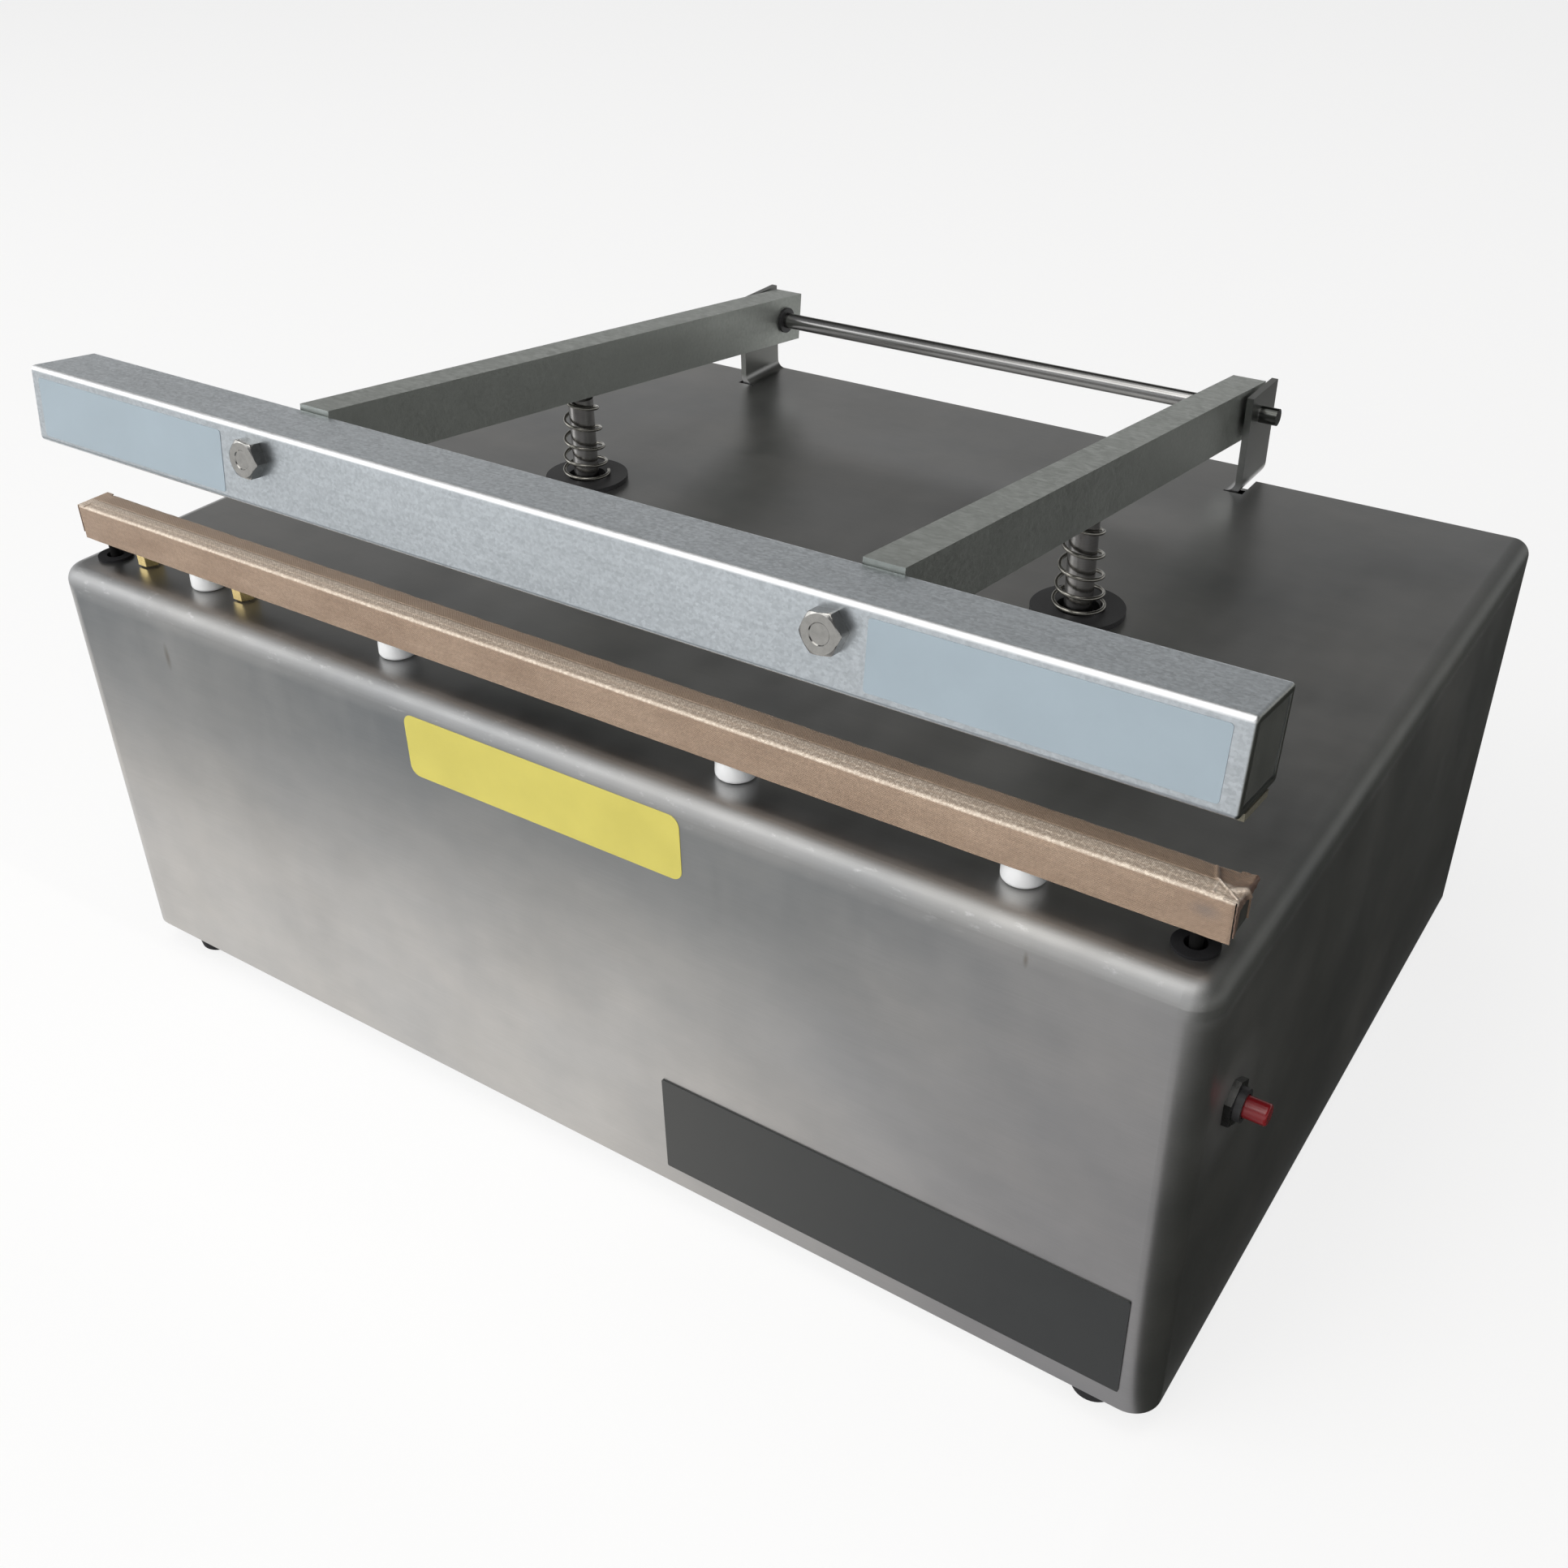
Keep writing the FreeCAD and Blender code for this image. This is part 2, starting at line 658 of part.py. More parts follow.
# Rubber feet, tapered, each with a screw sunk into its underside
feet = []
foot_screws = []
for x, y in FOOT_SPOTS:
    cone = doc.addObject("Part::Cone", "foot")
    cone.setExpression("Radius1", "sizes.foot_bottom / 2")
    cone.setExpression("Radius2", "sizes.foot_top / 2")
    cone.setExpression("Height", "sizes.foot_height")
    for axis, expression in zip("xyz", (x, y, "-sizes.foot_height")):
        cone.setExpression(f"Placement.Base.{axis}", expression)
    sink = rod("z", (x, y, "-sizes.foot_height - 1"), "sizes.screw_head + 1", "sizes.foot_recess + 1")
    bore = rod("z", (x, y, "-sizes.foot_height"), SCREW_HOLE, "sizes.foot_height + 1")
    feet.append(cut(cone, sink, bore))
    seat = "sizes.foot_recess - sizes.foot_height"
    grip = "sizes.foot_height - sizes.foot_recess + sizes.cover_sheet + sizes.base_sheet + 2"
    foot_screws.append(screw("z", (x, y, seat), grip, outwards=False))
node("rubber_feet", CASE, *feet)
node("foot_screws", CASE, *foot_screws)

# Seal bar on its four white standoffs: aluminium core, glass strip, heating ribbon and wrap
CORE_TOP = (
    f"({SEAL_FLOOR} + sizes.seal_height - sizes.wrap_sheet - sizes.ribbon_sheet - sizes.glass_strip)"
)
CORE_HALF = "(sizes.seal_width / 2 - sizes.wrap_sheet)"
CORE_END = f"({SEAL_END} - sizes.wrap_sheet)"
SEAL_BITE = "sizes.seal_screw_bite"
TAP_DEPTH = f"{SEAL_BITE} + 1.5"
standoffs = []
standoff_screws = []
core_holes = []
for x in STANDOFF_PLACES:
    post = rod("z", (x, "sizes.seal_setback", TOP), "sizes.standoff_diameter", "sizes.standoff_height")
    bore = rod("z", (x, "sizes.seal_setback", TOP), SCREW_HOLE, "sizes.standoff_height + 1")
    standoffs.append(cut(post, bore))
    length = f"sizes.cover_sheet + sizes.standoff_height + {SEAL_BITE}"
    standoff_screws.append(screw("z", (x, "sizes.seal_setback", UNDERSIDE), length, outwards=False))
    tap_at = (x, "sizes.seal_setback", f"{SEAL_FLOOR} - 1")
    core_holes.append(rod("z", tap_at, "sizes.screw_thread", TAP_DEPTH))
node("seal_standoffs", CASE, *standoffs)
node("standoff_screws", CASE, *standoff_screws)

brass = []
for inset in ("sizes.brass_far_inset", "sizes.brass_near_inset"):
    x = f"-({SEAL_END} - {inset})"
    at = (x, "sizes.seal_setback", f"{TOP} + sizes.brass_gap")
    head = hexagon("z", at, "sizes.brass_head", "sizes.brass_head_height")
    thread_length = f"sizes.standoff_height - sizes.brass_gap + {SEAL_BITE}"
    thread = rod("z", at, "sizes.brass_thread", thread_length)
    brass.append(fuse(head, thread))
    tap_at = (x, "sizes.seal_setback", f"{SEAL_FLOOR} - 1")
    core_holes.append(rod("z", tap_at, "sizes.brass_thread", TAP_DEPTH))
node("terminal_screws", CASE, *brass)

SEAL_FRONT = f"(sizes.seal_setback - {CORE_HALF})"
SEAL_BACK = f"(sizes.seal_setback + {CORE_HALF})"
core = box((f"-{CORE_END}", CORE_END), (SEAL_FRONT, SEAL_BACK), (SEAL_FLOOR, CORE_TOP))
node("seal_bar", CASE, cut(core, *core_holes))
GLASS_TOP = f"({CORE_TOP} + sizes.glass_strip)"
RIBBON_TOP = f"({GLASS_TOP} + sizes.ribbon_sheet)"
node(
    "insulating_strip",
    CASE,
    box((f"-{CORE_END}", CORE_END), (SEAL_FRONT, SEAL_BACK), (CORE_TOP, GLASS_TOP)),
)
RIBBON_SIDES = (
    "sizes.seal_setback - sizes.ribbon_width / 2",
    "sizes.seal_setback + sizes.ribbon_width / 2",
)
node(
    "heating_element",
    CASE,
    box((f"-{CORE_END}", CORE_END), RIBBON_SIDES, (GLASS_TOP, RIBBON_TOP)),
)

wrap = body("seal_cover", CASE)
wrap_plan = sketch(wrap, "YZ_Plane", f"-{SEAL_END}")
WRAP_FRONT = "sizes.seal_setback - sizes.seal_width / 2"
WRAP_BACK = "sizes.seal_setback + sizes.seal_width / 2"
rectangle(wrap_plan, WRAP_FRONT, WRAP_BACK, SEAL_FLOOR, f"{RIBBON_TOP} + sizes.wrap_sheet")
pad(wrap, wrap_plan, f"2 * {SEAL_END}")
wrap_top = value(f"{RIBBON_TOP} + sizes.wrap_sheet")
wrap_front = value(WRAP_FRONT)
wrap_back = value(WRAP_BACK)
round_edges(
    wrap,
    "sizes.wrap_sheet",
    lambda e: lies(e, z=wrap_top, y=wrap_front) or lies(e, z=wrap_top, y=wrap_back),
)
wrap_inside = sketch(wrap, "XY_Plane", f"{SEAL_FLOOR} - 1")
rectangle(wrap_inside, f"-{CORE_END}", CORE_END, SEAL_FRONT, SEAL_BACK)
pocket(wrap, wrap_inside, f"{RIBBON_TOP} - {SEAL_FLOOR} + 1", backwards=True)

# Leads of the heating element, through a rubber grommet under each end of the bar
leads = []
grommets = []
for side in ("-", ""):
    x = f"{side}{LEAD_X}"
    leads.append(
        rod(
            "z",
            (x, "sizes.lead_setback", f"{TOP} - sizes.lead_drop"),
            "sizes.lead_diameter",
            "sizes.lead_drop + sizes.standoff_height",
        )
    )
    flange = rod("z", (x, "sizes.lead_setback", TOP), "sizes.grommet_flange", "sizes.grommet_lip")
    neck = rod("z", (x, "sizes.lead_setback", UNDERSIDE), "sizes.grommet_neck", "sizes.cover_sheet")
    keeper = rod(
        "z",
        (x, "sizes.lead_setback", f"{UNDERSIDE} - sizes.grommet_lip"),
        "sizes.grommet_flange",
        "sizes.grommet_lip",
    )
    bore = rod(
        "z",
        (x, "sizes.lead_setback", f"{UNDERSIDE} - sizes.grommet_lip - 1"),
        "sizes.grommet_bore",
        "sizes.cover_sheet + 2 * sizes.grommet_lip + 2",
    )
    grommets.append(cut(fuse(flange, neck, keeper), bore))
node("element_leads", CASE, *leads)
node("lead_grommets", CASE, *grommets)

# Pivot rod through both ears
ROD_HALF = f"({EAR_OUTER} + sizes.rod_overhang)"
node(
    "pivot_rod",
    CASE,
    rod("x", (f"-{ROD_HALF}", PIVOT_Y, PIVOT_Z), "sizes.pivot_rod", f"2 * {ROD_HALF}"),
)

# Jaw, drawn level about the pivot: arms, press bar, end plugs, bolts, pad and bushes
LINK_REACH = "(sizes.cover_depth - sizes.pivot_inset - sizes.plunger_setback)"
BUSH_OUTER = "(sizes.pivot_rod + 2 * sizes.rod_gap + 2 * sizes.bush_wall)"
SLOT_LEAN = "sizes.arm_height * sin(sizes.open_angle)"
SLOT_LENGTH = f"(sizes.tang_depth + 2 * sizes.slot_gap + {SLOT_LEAN} + sizes.link_play)"
SLOT_HEIGHT = "(sizes.arm_height / 2 + sizes.link_pin / 2)"
arm_names = {"-1": "arm_left", "1": "arm_right"}
for side, name in arm_names.items():
    x = f"{side} * {ARM_SIDE}"
    bar = box(
        about(x, "sizes.arm_width"),
        ("-sizes.arm_reach", "sizes.arm_tail"),
        about("0", "sizes.arm_height"),
    )
    bush_hole = rod("x", (f"{x} - sizes.arm_width", "0", "0"), BUSH_OUTER, "2 * sizes.arm_width")
    tapped_at = (x, "-sizes.arm_reach - 1", "-sizes.bolt_drop")
    tapped = rod("y", tapped_at, "sizes.bolt_thread", "sizes.bolt_grip + 3")
    slot = box(
        about(x, "sizes.tang_width + 2 * sizes.slot_gap"),
        about(f"-{LINK_REACH}", SLOT_LENGTH),
        ("-sizes.arm_height / 2 - 1", f"-sizes.arm_height / 2 + {SLOT_HEIGHT}"),
    )
    pin_at = (f"{x} - sizes.arm_width", f"-{LINK_REACH}", "-sizes.link_drop")
    pin_hole = rod("x", pin_at, "sizes.link_pin", "2 * sizes.arm_width")
    node(name, JAW, cut(bar, bush_hole, tapped, slot, pin_hole))

node(
    "link_pins",
    JAW,
    *[
        rod(
            "x",
            (f"{side} * {ARM_SIDE} - sizes.arm_width / 2", f"-{LINK_REACH}", "-sizes.link_drop"),
            "sizes.link_pin",
            "sizes.arm_width",
        )
        for side in arm_names
    ],
)

bushes = []
for side in arm_names:
    for face in ("-1", "1"):
        wall = f"{side} * {ARM_SIDE} + {face} * sizes.arm_width / 2"
        inward = f"{wall} - (1 + {face}) / 2 * sizes.arm_width / 3"
        sleeve = rod("x", (inward, "0", "0"), BUSH_OUTER, "sizes.arm_width / 3")
        flange_at = f"{wall} - (1 - {face}) / 2 * sizes.bush_flange_sheet"
        flange = rod("x", (flange_at, "0", "0"), "sizes.bush_flange", "sizes.bush_flange_sheet")
        bore = rod(
            "x",
            (f"{wall} - sizes.arm_width", "0", "0"),
            "sizes.pivot_rod + 2 * sizes.rod_gap",
            "2 * sizes.arm_width",
        )
        bushes.append(cut(fuse(sleeve, flange), bore))
node("pivot_bushes", JAW, *bushes)

BAR_BACK = "-sizes.arm_reach"
BAR_FRONT = f"({BAR_BACK} - sizes.bar_size)"
BAR_LOW = "(-sizes.bar_drop - sizes.bar_size / 2)"
BAR_HIGH = "(-sizes.bar_drop + sizes.bar_size / 2)"
bar_end = value(BAR_END)
tube = body("front_bar", JAW)
tube_plan = sketch(tube, "YZ_Plane", f"-{BAR_END}")
rectangle(tube_plan, BAR_FRONT, BAR_BACK, BAR_LOW, BAR_HIGH)
pad(tube, tube_plan, f"2 * {BAR_END}")


def along_x(edge):
    ends = edge.valueAt(edge.FirstParameter) - edge.valueAt(edge.LastParameter)
    return abs(ends.x) > NEAR and abs(ends.y) < NEAR and abs(ends.z) < NEAR


round_edges(tube, "sizes.bar_radius", along_x)
round_edges(tube, "sizes.bar_end_round", lambda e: lies(e, x=bar_end))
tube_inside = sketch(tube, "YZ_Plane", f"-{BAR_END} - 1")
INSIDE_FRONT = f"{BAR_FRONT} + sizes.bar_wall"
INSIDE_BACK = f"{BAR_BACK} - sizes.bar_wall"
INSIDE_LOW = f"{BAR_LOW} + sizes.bar_wall"
INSIDE_HIGH = f"{BAR_HIGH} - sizes.bar_wall"
rectangle(tube_inside, INSIDE_FRONT, INSIDE_BACK, INSIDE_LOW, INSIDE_HIGH)
pocket(tube, tube_inside, f"2 * {BAR_END} + 2", backwards=True)
bolt_holes = sketch(tube, "XZ_Plane", "sizes.arm_reach + sizes.bar_size + 1")
for side in arm_names:
    bolt_x = f"{side} * {ARM_SIDE}"
    circle(bolt_holes, bolt_x, "-sizes.bolt_drop", "sizes.bolt_thread + 2 * sizes.bolt_gap")
pocket(tube, bolt_holes, "sizes.bar_size + 2")

PLUG_FACE = f"({BAR_END} - sizes.plug_sink)"
plug_face = value(PLUG_FACE)
for name, inwards in (("bar_end_plug_left", False), ("bar_end_plug_right", True)):
    plug = body(name, JAW)
    plug_plan = sketch(plug, "YZ_Plane", PLUG_FACE if inwards else f"-{PLUG_FACE}")
    rectangle(plug_plan, INSIDE_FRONT, INSIDE_BACK, INSIDE_LOW, INSIDE_HIGH)
    pad(plug, plug_plan, "sizes.plug_depth", backwards=inwards)
    round_edges(plug, "sizes.plug_round", lambda e: lies(e, x=plug_face))

bolts = []
for side in arm_names:
    x = f"{side} * {ARM_SIDE}"
    crown_at = (x, f"{BAR_FRONT} - sizes.bolt_head_height", "-sizes.bolt_drop")
    head = hexagon("y", crown_at, "sizes.bolt_head", "sizes.bolt_head_height")
    crown = doc.addObject("Part::Cone", "crown")
    crown.Placement.Rotation = TURNS["y"]
    crown.setExpression("Radius1", "sizes.bolt_head * 0.47")
    crown.setExpression("Radius2", "sizes.bolt_head * 0.47 + sizes.bolt_head_height * 2")
    crown.setExpression("Height", "sizes.bolt_head_height")
    for axis, expression in zip("xyz", crown_at):
        crown.setExpression(f"Placement.Base.{axis}", expression)
    chamfered = doc.addObject("Part::Common", "chamfered")
    chamfered.Base = head
    chamfered.Tool = crown
    shank_at = (x, BAR_FRONT, "-sizes.bolt_drop")
    shank = rod("y", shank_at, "sizes.bolt_thread", "sizes.bar_size + sizes.bolt_grip")
    bolts.append(fuse(chamfered, shank))
node("arm_bolts", JAW, *bolts)

PAD_MIDDLE = f"({BAR_BACK} - sizes.bar_size / 2)"
node(
    "press_pad",
    JAW,
    box(
        (f"-{BAR_END}", BAR_END),
        (f"{PAD_MIDDLE} - sizes.pad_width / 2", f"{PAD_MIDDLE} + sizes.pad_width / 2"),
        (f"{BAR_LOW} - sizes.pad_thickness", BAR_LOW),
    ),
)

# Solenoid plungers, each with a flat tang and a slotted eye for the link pin in its arm
LEAN = "sizes.open_angle"
PIN_Y = f"({PIVOT_Y} - {LINK_REACH} * cos({LEAN}) - sizes.link_drop * sin({LEAN}))"
PIN_Z = f"({PIVOT_Z} + {LINK_REACH} * sin({LEAN}) - sizes.link_drop * cos({LEAN}))"
ARM_FLOOR = f"({PIVOT_Z} + ({LINK_REACH} * sin({LEAN}) - sizes.arm_height / 2) / cos({LEAN}))"
SHOULDER = (
    f"({ARM_FLOOR} - sizes.shoulder_gap - sizes.plunger_diameter / 2 * sin({LEAN}) / cos({LEAN}))"
)
SLIDE_BORE = "sizes.plunger_diameter + 2 * sizes.plunger_gap"
for side, name in (("-1", "plunger_left"), ("1", "plunger_right")):
    x = f"{side} * {ARM_SIDE}"
    shaft = rod(
        "z",
        (x, "sizes.plunger_setback", f"{SHOULDER} - sizes.plunger_length"),
        "sizes.plunger_diameter",
        "sizes.plunger_length",
    )
    tang = box(
        about(x, "sizes.tang_width"),
        about("sizes.plunger_setback", "sizes.tang_depth"),
        (SHOULDER, f"{PIN_Z} + sizes.link_pin"),
    )
    eye_height = "(sizes.link_pin + 2 * sizes.link_gap)"
    eye_ends = []
    for end_y in about("sizes.plunger_setback", "sizes.link_play"):
        end_at = (f"{x} - sizes.tang_width", end_y, PIN_Z)
        eye_ends.append(rod("x", end_at, eye_height, "2 * sizes.tang_width"))
    eye_slot = box(
        about(x, "2 * sizes.tang_width"),
        about("sizes.plunger_setback", "sizes.link_play"),
        about(PIN_Z, eye_height),
    )
    node(name, CASE, cut(fuse(shaft, tang), *eye_ends, eye_slot))

washers = []
for side in arm_names:
    x = f"{side} * {ARM_SIDE}"
    through = "sizes.cover_sheet + sizes.washer_thickness"
    disc = rod("z", (x, "sizes.plunger_setback", TOP), "sizes.washer_outer", "sizes.washer_thickness")
    neck = rod("z", (x, "sizes.plunger_setback", UNDERSIDE), WASHER_NECK, "sizes.cover_sheet")
    cup_at = (x, "sizes.plunger_setback", f"{UNDERSIDE} + sizes.washer_floor")
    cup = rod("z", cup_at, WASHER_CUP, through)
    bore = rod("z", (x, "sizes.plunger_setback", f"{UNDERSIDE} - 1"), SLIDE_BORE, f"{through} + 2")
    washers.append(cut(fuse(disc, neck), cup, bore))
node("spring_washers", CASE, *washers)

# Solenoids under the top: a square steel loop round a wound coil
for side, name in (("-1", "left"), ("1", "right")):
    x = f"{side} * {ARM_SIDE}"
    loop_low = f"({UNDERSIDE} - sizes.coil_length - 2 * sizes.frame_plate)"
    outside = box(
        about(x, "sizes.frame_width"),
        about("sizes.plunger_setback", "sizes.frame_depth"),
        (loop_low, UNDERSIDE),
    )
    window = box(
        about(x, "sizes.frame_width - 2 * sizes.frame_plate"),
        about("sizes.plunger_setback", "sizes.frame_depth + 2"),
        (f"{loop_low} + sizes.frame_plate", f"{UNDERSIDE} - sizes.frame_plate"),
    )
    entry_at = (x, "sizes.plunger_setback", f"{UNDERSIDE} - sizes.frame_plate - 1")
    entry = rod("z", entry_at, SLIDE_BORE, "sizes.frame_plate + 2")
    node(f"solenoid_frame_{name}", CASE, cut(outside, window, entry))
    winding_at = (x, "sizes.plunger_setback", f"{loop_low} + sizes.frame_plate")
    winding = rod("z", winding_at, "sizes.coil_diameter", "sizes.coil_length")
    tunnel = rod("z", winding_at, SLIDE_BORE, "sizes.coil_length")
    node(f"solenoid_coil_{name}", CASE, cut(winding, tunnel))


def biarc(start, start_run, end, end_run):
    """Two arcs that join two points along given unit directions, meeting halfway."""
    chord = end - start
    both = start_run + end_run
    spread = 2 * (1 - start_run.dot(end_run))
    along = chord.dot(both)
    reach = (-along + math.sqrt(along * along + spread * chord.dot(chord))) / spread
    first = start + start_run * reach
    last = end - end_run * reach
    joint = (first + last) * 0.5
    arcs = []
    for a, corner, b in ((start, first, joint), (joint, last, end)):
        weight = (b - a).Length / (2 * reach)
        crown = (a + corner * (2 * weight) + b) * (1 / (2 + 2 * weight))
        arcs.append(Part.Arc(a, crown, b).toShape())
    return arcs


PROBES = 64
START_TURN = 0.14


def conical_spring(height):
    """One unbroken wire wound left-handed on a cone, wide at its foot, standing on z = 0.

    The foot lies nearly flat, and each turn climbs more than the one below it. Each quarter turn
    is a biarc between points of the spiral.
    """
    wire = value("sizes.spring_wire")
    foot = value("sizes.spring_foot - sizes.spring_wire") / 2
    head = value("sizes.spring_head - sizes.spring_wire") / 2
    turns = value("sizes.spring_turns")
    grade = value("sizes.spring_grade")

    def spot(turn):
        share = turn / turns
        radius = foot + (head - foot) * share
        angle = 2 * math.pi * (START_TURN - turn)
        rise = wire / 2 + (height - wire) * share**grade
        return FreeCAD.Vector(radius * math.cos(angle), radius * math.sin(angle), rise)

    def run(turn):
        step = 1e-4
        ahead = spot(min(turn + step, turns)) - spot(max(turn - step, 0))
        return ahead.normalize()

    steps = int(round(turns * 4))
    marks = [turns * i / steps for i in range(steps + 1)]
    arcs = []
    for a, b in zip(marks, marks[1:]):
        arcs.extend(biarc(spot(a), run(a), spot(b), run(b)))
    path = Part.Wire(arcs)
    start = spot(0)
    section = Part.Wire([Part.Circle(start, run(0), wire / 2).toShape()])
    sweep = Part.BRepOffsetAPI.MakePipeShell(path)
    sweep.add(section)
    sweep.build()
    sweep.makeSolid()
    samples = [spot(turns * i / (PROBES * steps / 4)) for i in range(int(PROBES * steps / 4) + 1)]
    apart = PROBES // 2
    least = min(
        (samples[i] - samples[j]).Length
        for i in range(0, len(samples), 4)
        for j in range(i + apart, len(samples))
    )
    print(f"spring: least gap to itself {least - wire:.2f} mm")
    return sweep.shape()


SPRING_HEAD_SINK = "(sizes.spring_head / 2 * sin(sizes.open_angle) / cos(sizes.open_angle))"
SPRING_HEIGHT = f"({ARM_FLOOR} - {SPRING_HEAD_SINK} - sizes.spring_gap - {WASHER_TOP})"
coil = conical_spring(value(SPRING_HEIGHT))
for side, name in (("-1", "spring_left"), ("1", "spring_right")):
    piece = doc.addObject("Part::Feature", name)
    piece.Shape = coil
    piece.Label = name
    place(
        piece,
        (
            f"{CASE[0]} + {side} * {ARM_SIDE}",
            f"{CASE[1]} + sizes.plunger_setback",
            f"{CASE[2]} + {WASHER_TOP}",
        ),
    )
    PARTS.append(piece)

# Transformer on the base plate: a stack of plates with two windows, a winding and two feet
core_left = "-sizes.core_width / 2"
core_right = "sizes.core_width / 2"
core_front = "(sizes.transformer_setback - sizes.core_depth / 2)"
core_back = "(sizes.transformer_setback + sizes.core_depth / 2)"
core_high = f"({BASE_TOP} + sizes.core_height)"
stack = box((core_left, core_right), (core_front, core_back), (BASE_TOP, core_high))
core_feet = box(
    (f"{core_left} - sizes.core_foot", f"{core_right} + sizes.core_foot"),
    (core_front, core_back),
    (BASE_TOP, f"{BASE_TOP} + sizes.frame_plate"),
)
core_windows = []
window_middle = "(sizes.core_width / 4)"
for side in ("-", ""):
    core_windows.append(
        box(
            about(f"{side}{window_middle}", "sizes.core_width / 2 - 2 * sizes.core_limb"),
            (f"{core_front} - 1", f"{core_back} + 1"),
            (f"{BASE_TOP} + sizes.core_limb", f"{core_high} - sizes.core_limb"),
        )
    )
foot_holes = []
for side in ("-", ""):
    hole_at = (f"{side}{CORE_BOLT_X}", "sizes.transformer_setback", f"{BASE_TOP} - 1")
    foot_holes.append(rod("z", hole_at, SCREW_HOLE, "sizes.frame_plate + 2"))
node("transformer_core", CASE, cut(fuse(stack, core_feet), *core_windows, *foot_holes))
winding_x = "(sizes.core_width / 2 - sizes.core_limb - sizes.winding_gap)"
winding_y = "(sizes.winding_depth / 2)"
winding_z = (
    f"{BASE_TOP} + sizes.core_limb + sizes.winding_gap",
    f"{core_high} - sizes.core_limb - sizes.winding_gap",
)
turns_outside = box(
    (f"-{winding_x}", winding_x),
    (f"sizes.transformer_setback - {winding_y}", f"sizes.transformer_setback + {winding_y}"),
    winding_z,
)
turns_inside = box(
    ("-sizes.core_limb - sizes.winding_gap", "sizes.core_limb + sizes.winding_gap"),
    (f"{core_front} - sizes.winding_gap", f"{core_back} + sizes.winding_gap"),
    (f"{winding_z[0]} - 1", f"{winding_z[1]} + 1"),
)
node("transformer_winding", CASE, cut(turns_outside, turns_inside))
CORE_GRIP = "sizes.frame_plate + sizes.base_sheet + 3"
core_screws = []
for side in ("-", ""):
    screw_at = (f"{side}{CORE_BOLT_X}", "sizes.transformer_setback", f"{BASE_TOP} + sizes.frame_plate")
    core_screws.append(screw("z", screw_at, CORE_GRIP, outwards=True))
node("transformer_screws", CASE, *core_screws)

# Timer board on four posts, with two relays and a row of terminals
BOARD_LOW = f"({BASE_TOP} + sizes.board_standoff)"
BOARD_TOP = f"({BOARD_LOW} + sizes.board_sheet)"
posts = []
for x, y in BOARD_SPOTS:
    posts.append(hexagon("z", (x, y, BASE_TOP), "sizes.board_post", "sizes.board_standoff"))
node("board_posts", CASE, *posts)
board = box(
    about("0", "sizes.board_width"),
    about("sizes.board_setback", "sizes.board_depth"),
    (BOARD_LOW, BOARD_TOP),
)
node("timer_board", CASE, board)
relays = []
for side in ("-", ""):
    relays.append(
        box(
            about(f"{side}sizes.relay_offset", "sizes.relay_width"),
            ("sizes.board_setback", "sizes.board_setback + sizes.relay_length"),
            (BOARD_TOP, f"{BOARD_TOP} + sizes.relay_height"),
        )
    )
node("timer_relays", CASE, *relays)
block_front = "sizes.board_setback - sizes.board_depth / 2 + sizes.board_margin"
block = box(
    about("0", "sizes.block_length"),
    (block_front, f"{block_front} + sizes.block_width"),
    (BOARD_TOP, f"{BOARD_TOP} + sizes.block_height"),
)
node("terminal_block", CASE, block)

# Circuit breaker in the right side: body and neck inside, nut outside, sliding red cap
SIDE_FACE = "(sizes.cover_width / 2)"
button_axis = ("sizes.button_setback", "sizes.button_height")
breaker = box(
    (f"{HALF_INSIDE} - sizes.breaker_depth", HALF_INSIDE),
    about(button_axis[0], "sizes.breaker_width"),
    about(button_axis[1], "sizes.breaker_height"),
)
neck_length = "sizes.cover_sheet + sizes.neck_proud"
neck = rod("x", (HALF_INSIDE, *button_axis), "sizes.neck_diameter", neck_length)
STEM_ROOM = "sizes.cap_stem + sizes.button_travel + 1"
cap_way = rod(
    "x",
    (f"{SIDE_FACE} + sizes.neck_proud - ({STEM_ROOM})", *button_axis),
    "sizes.cap_diameter + 2 * sizes.cap_gap",
    f"{STEM_ROOM} + 1",
)
node("breaker_body", CASE, cut(fuse(breaker, neck), cap_way))
nut = hexagon("x", (SIDE_FACE, *button_axis), "sizes.nut_flats", "sizes.nut_height")
nut_bore = rod("x", (f"{SIDE_FACE} - 1", *button_axis), "sizes.neck_diameter", "sizes.nut_height + 2")
node("breaker_nut", CASE, cut(nut, nut_bore))
cap_body = rod(
    "x",
    (f"{SIDE_FACE} + sizes.neck_proud - sizes.cap_stem", *button_axis),
    "sizes.cap_diameter",
    "sizes.cap_stem + sizes.cap_length",
)
cap_round = doc.addObject("Part::Fillet", "cap_round")
cap_round.Base = cap_body
doc.recompute()
tip_x = max(v.X for v in cap_body.Shape.Vertexes)
cap_round.Edges = [
    (i, value("sizes.cap_diameter") / 8, value("sizes.cap_diameter") / 8)
    for i, edge in enumerate(cap_body.Shape.Edges, start=1)
    if edge.Closed and abs(edge.valueAt(edge.FirstParameter).x - tip_x) < NEAR
]
node("button_cap", CASE, cap_round)

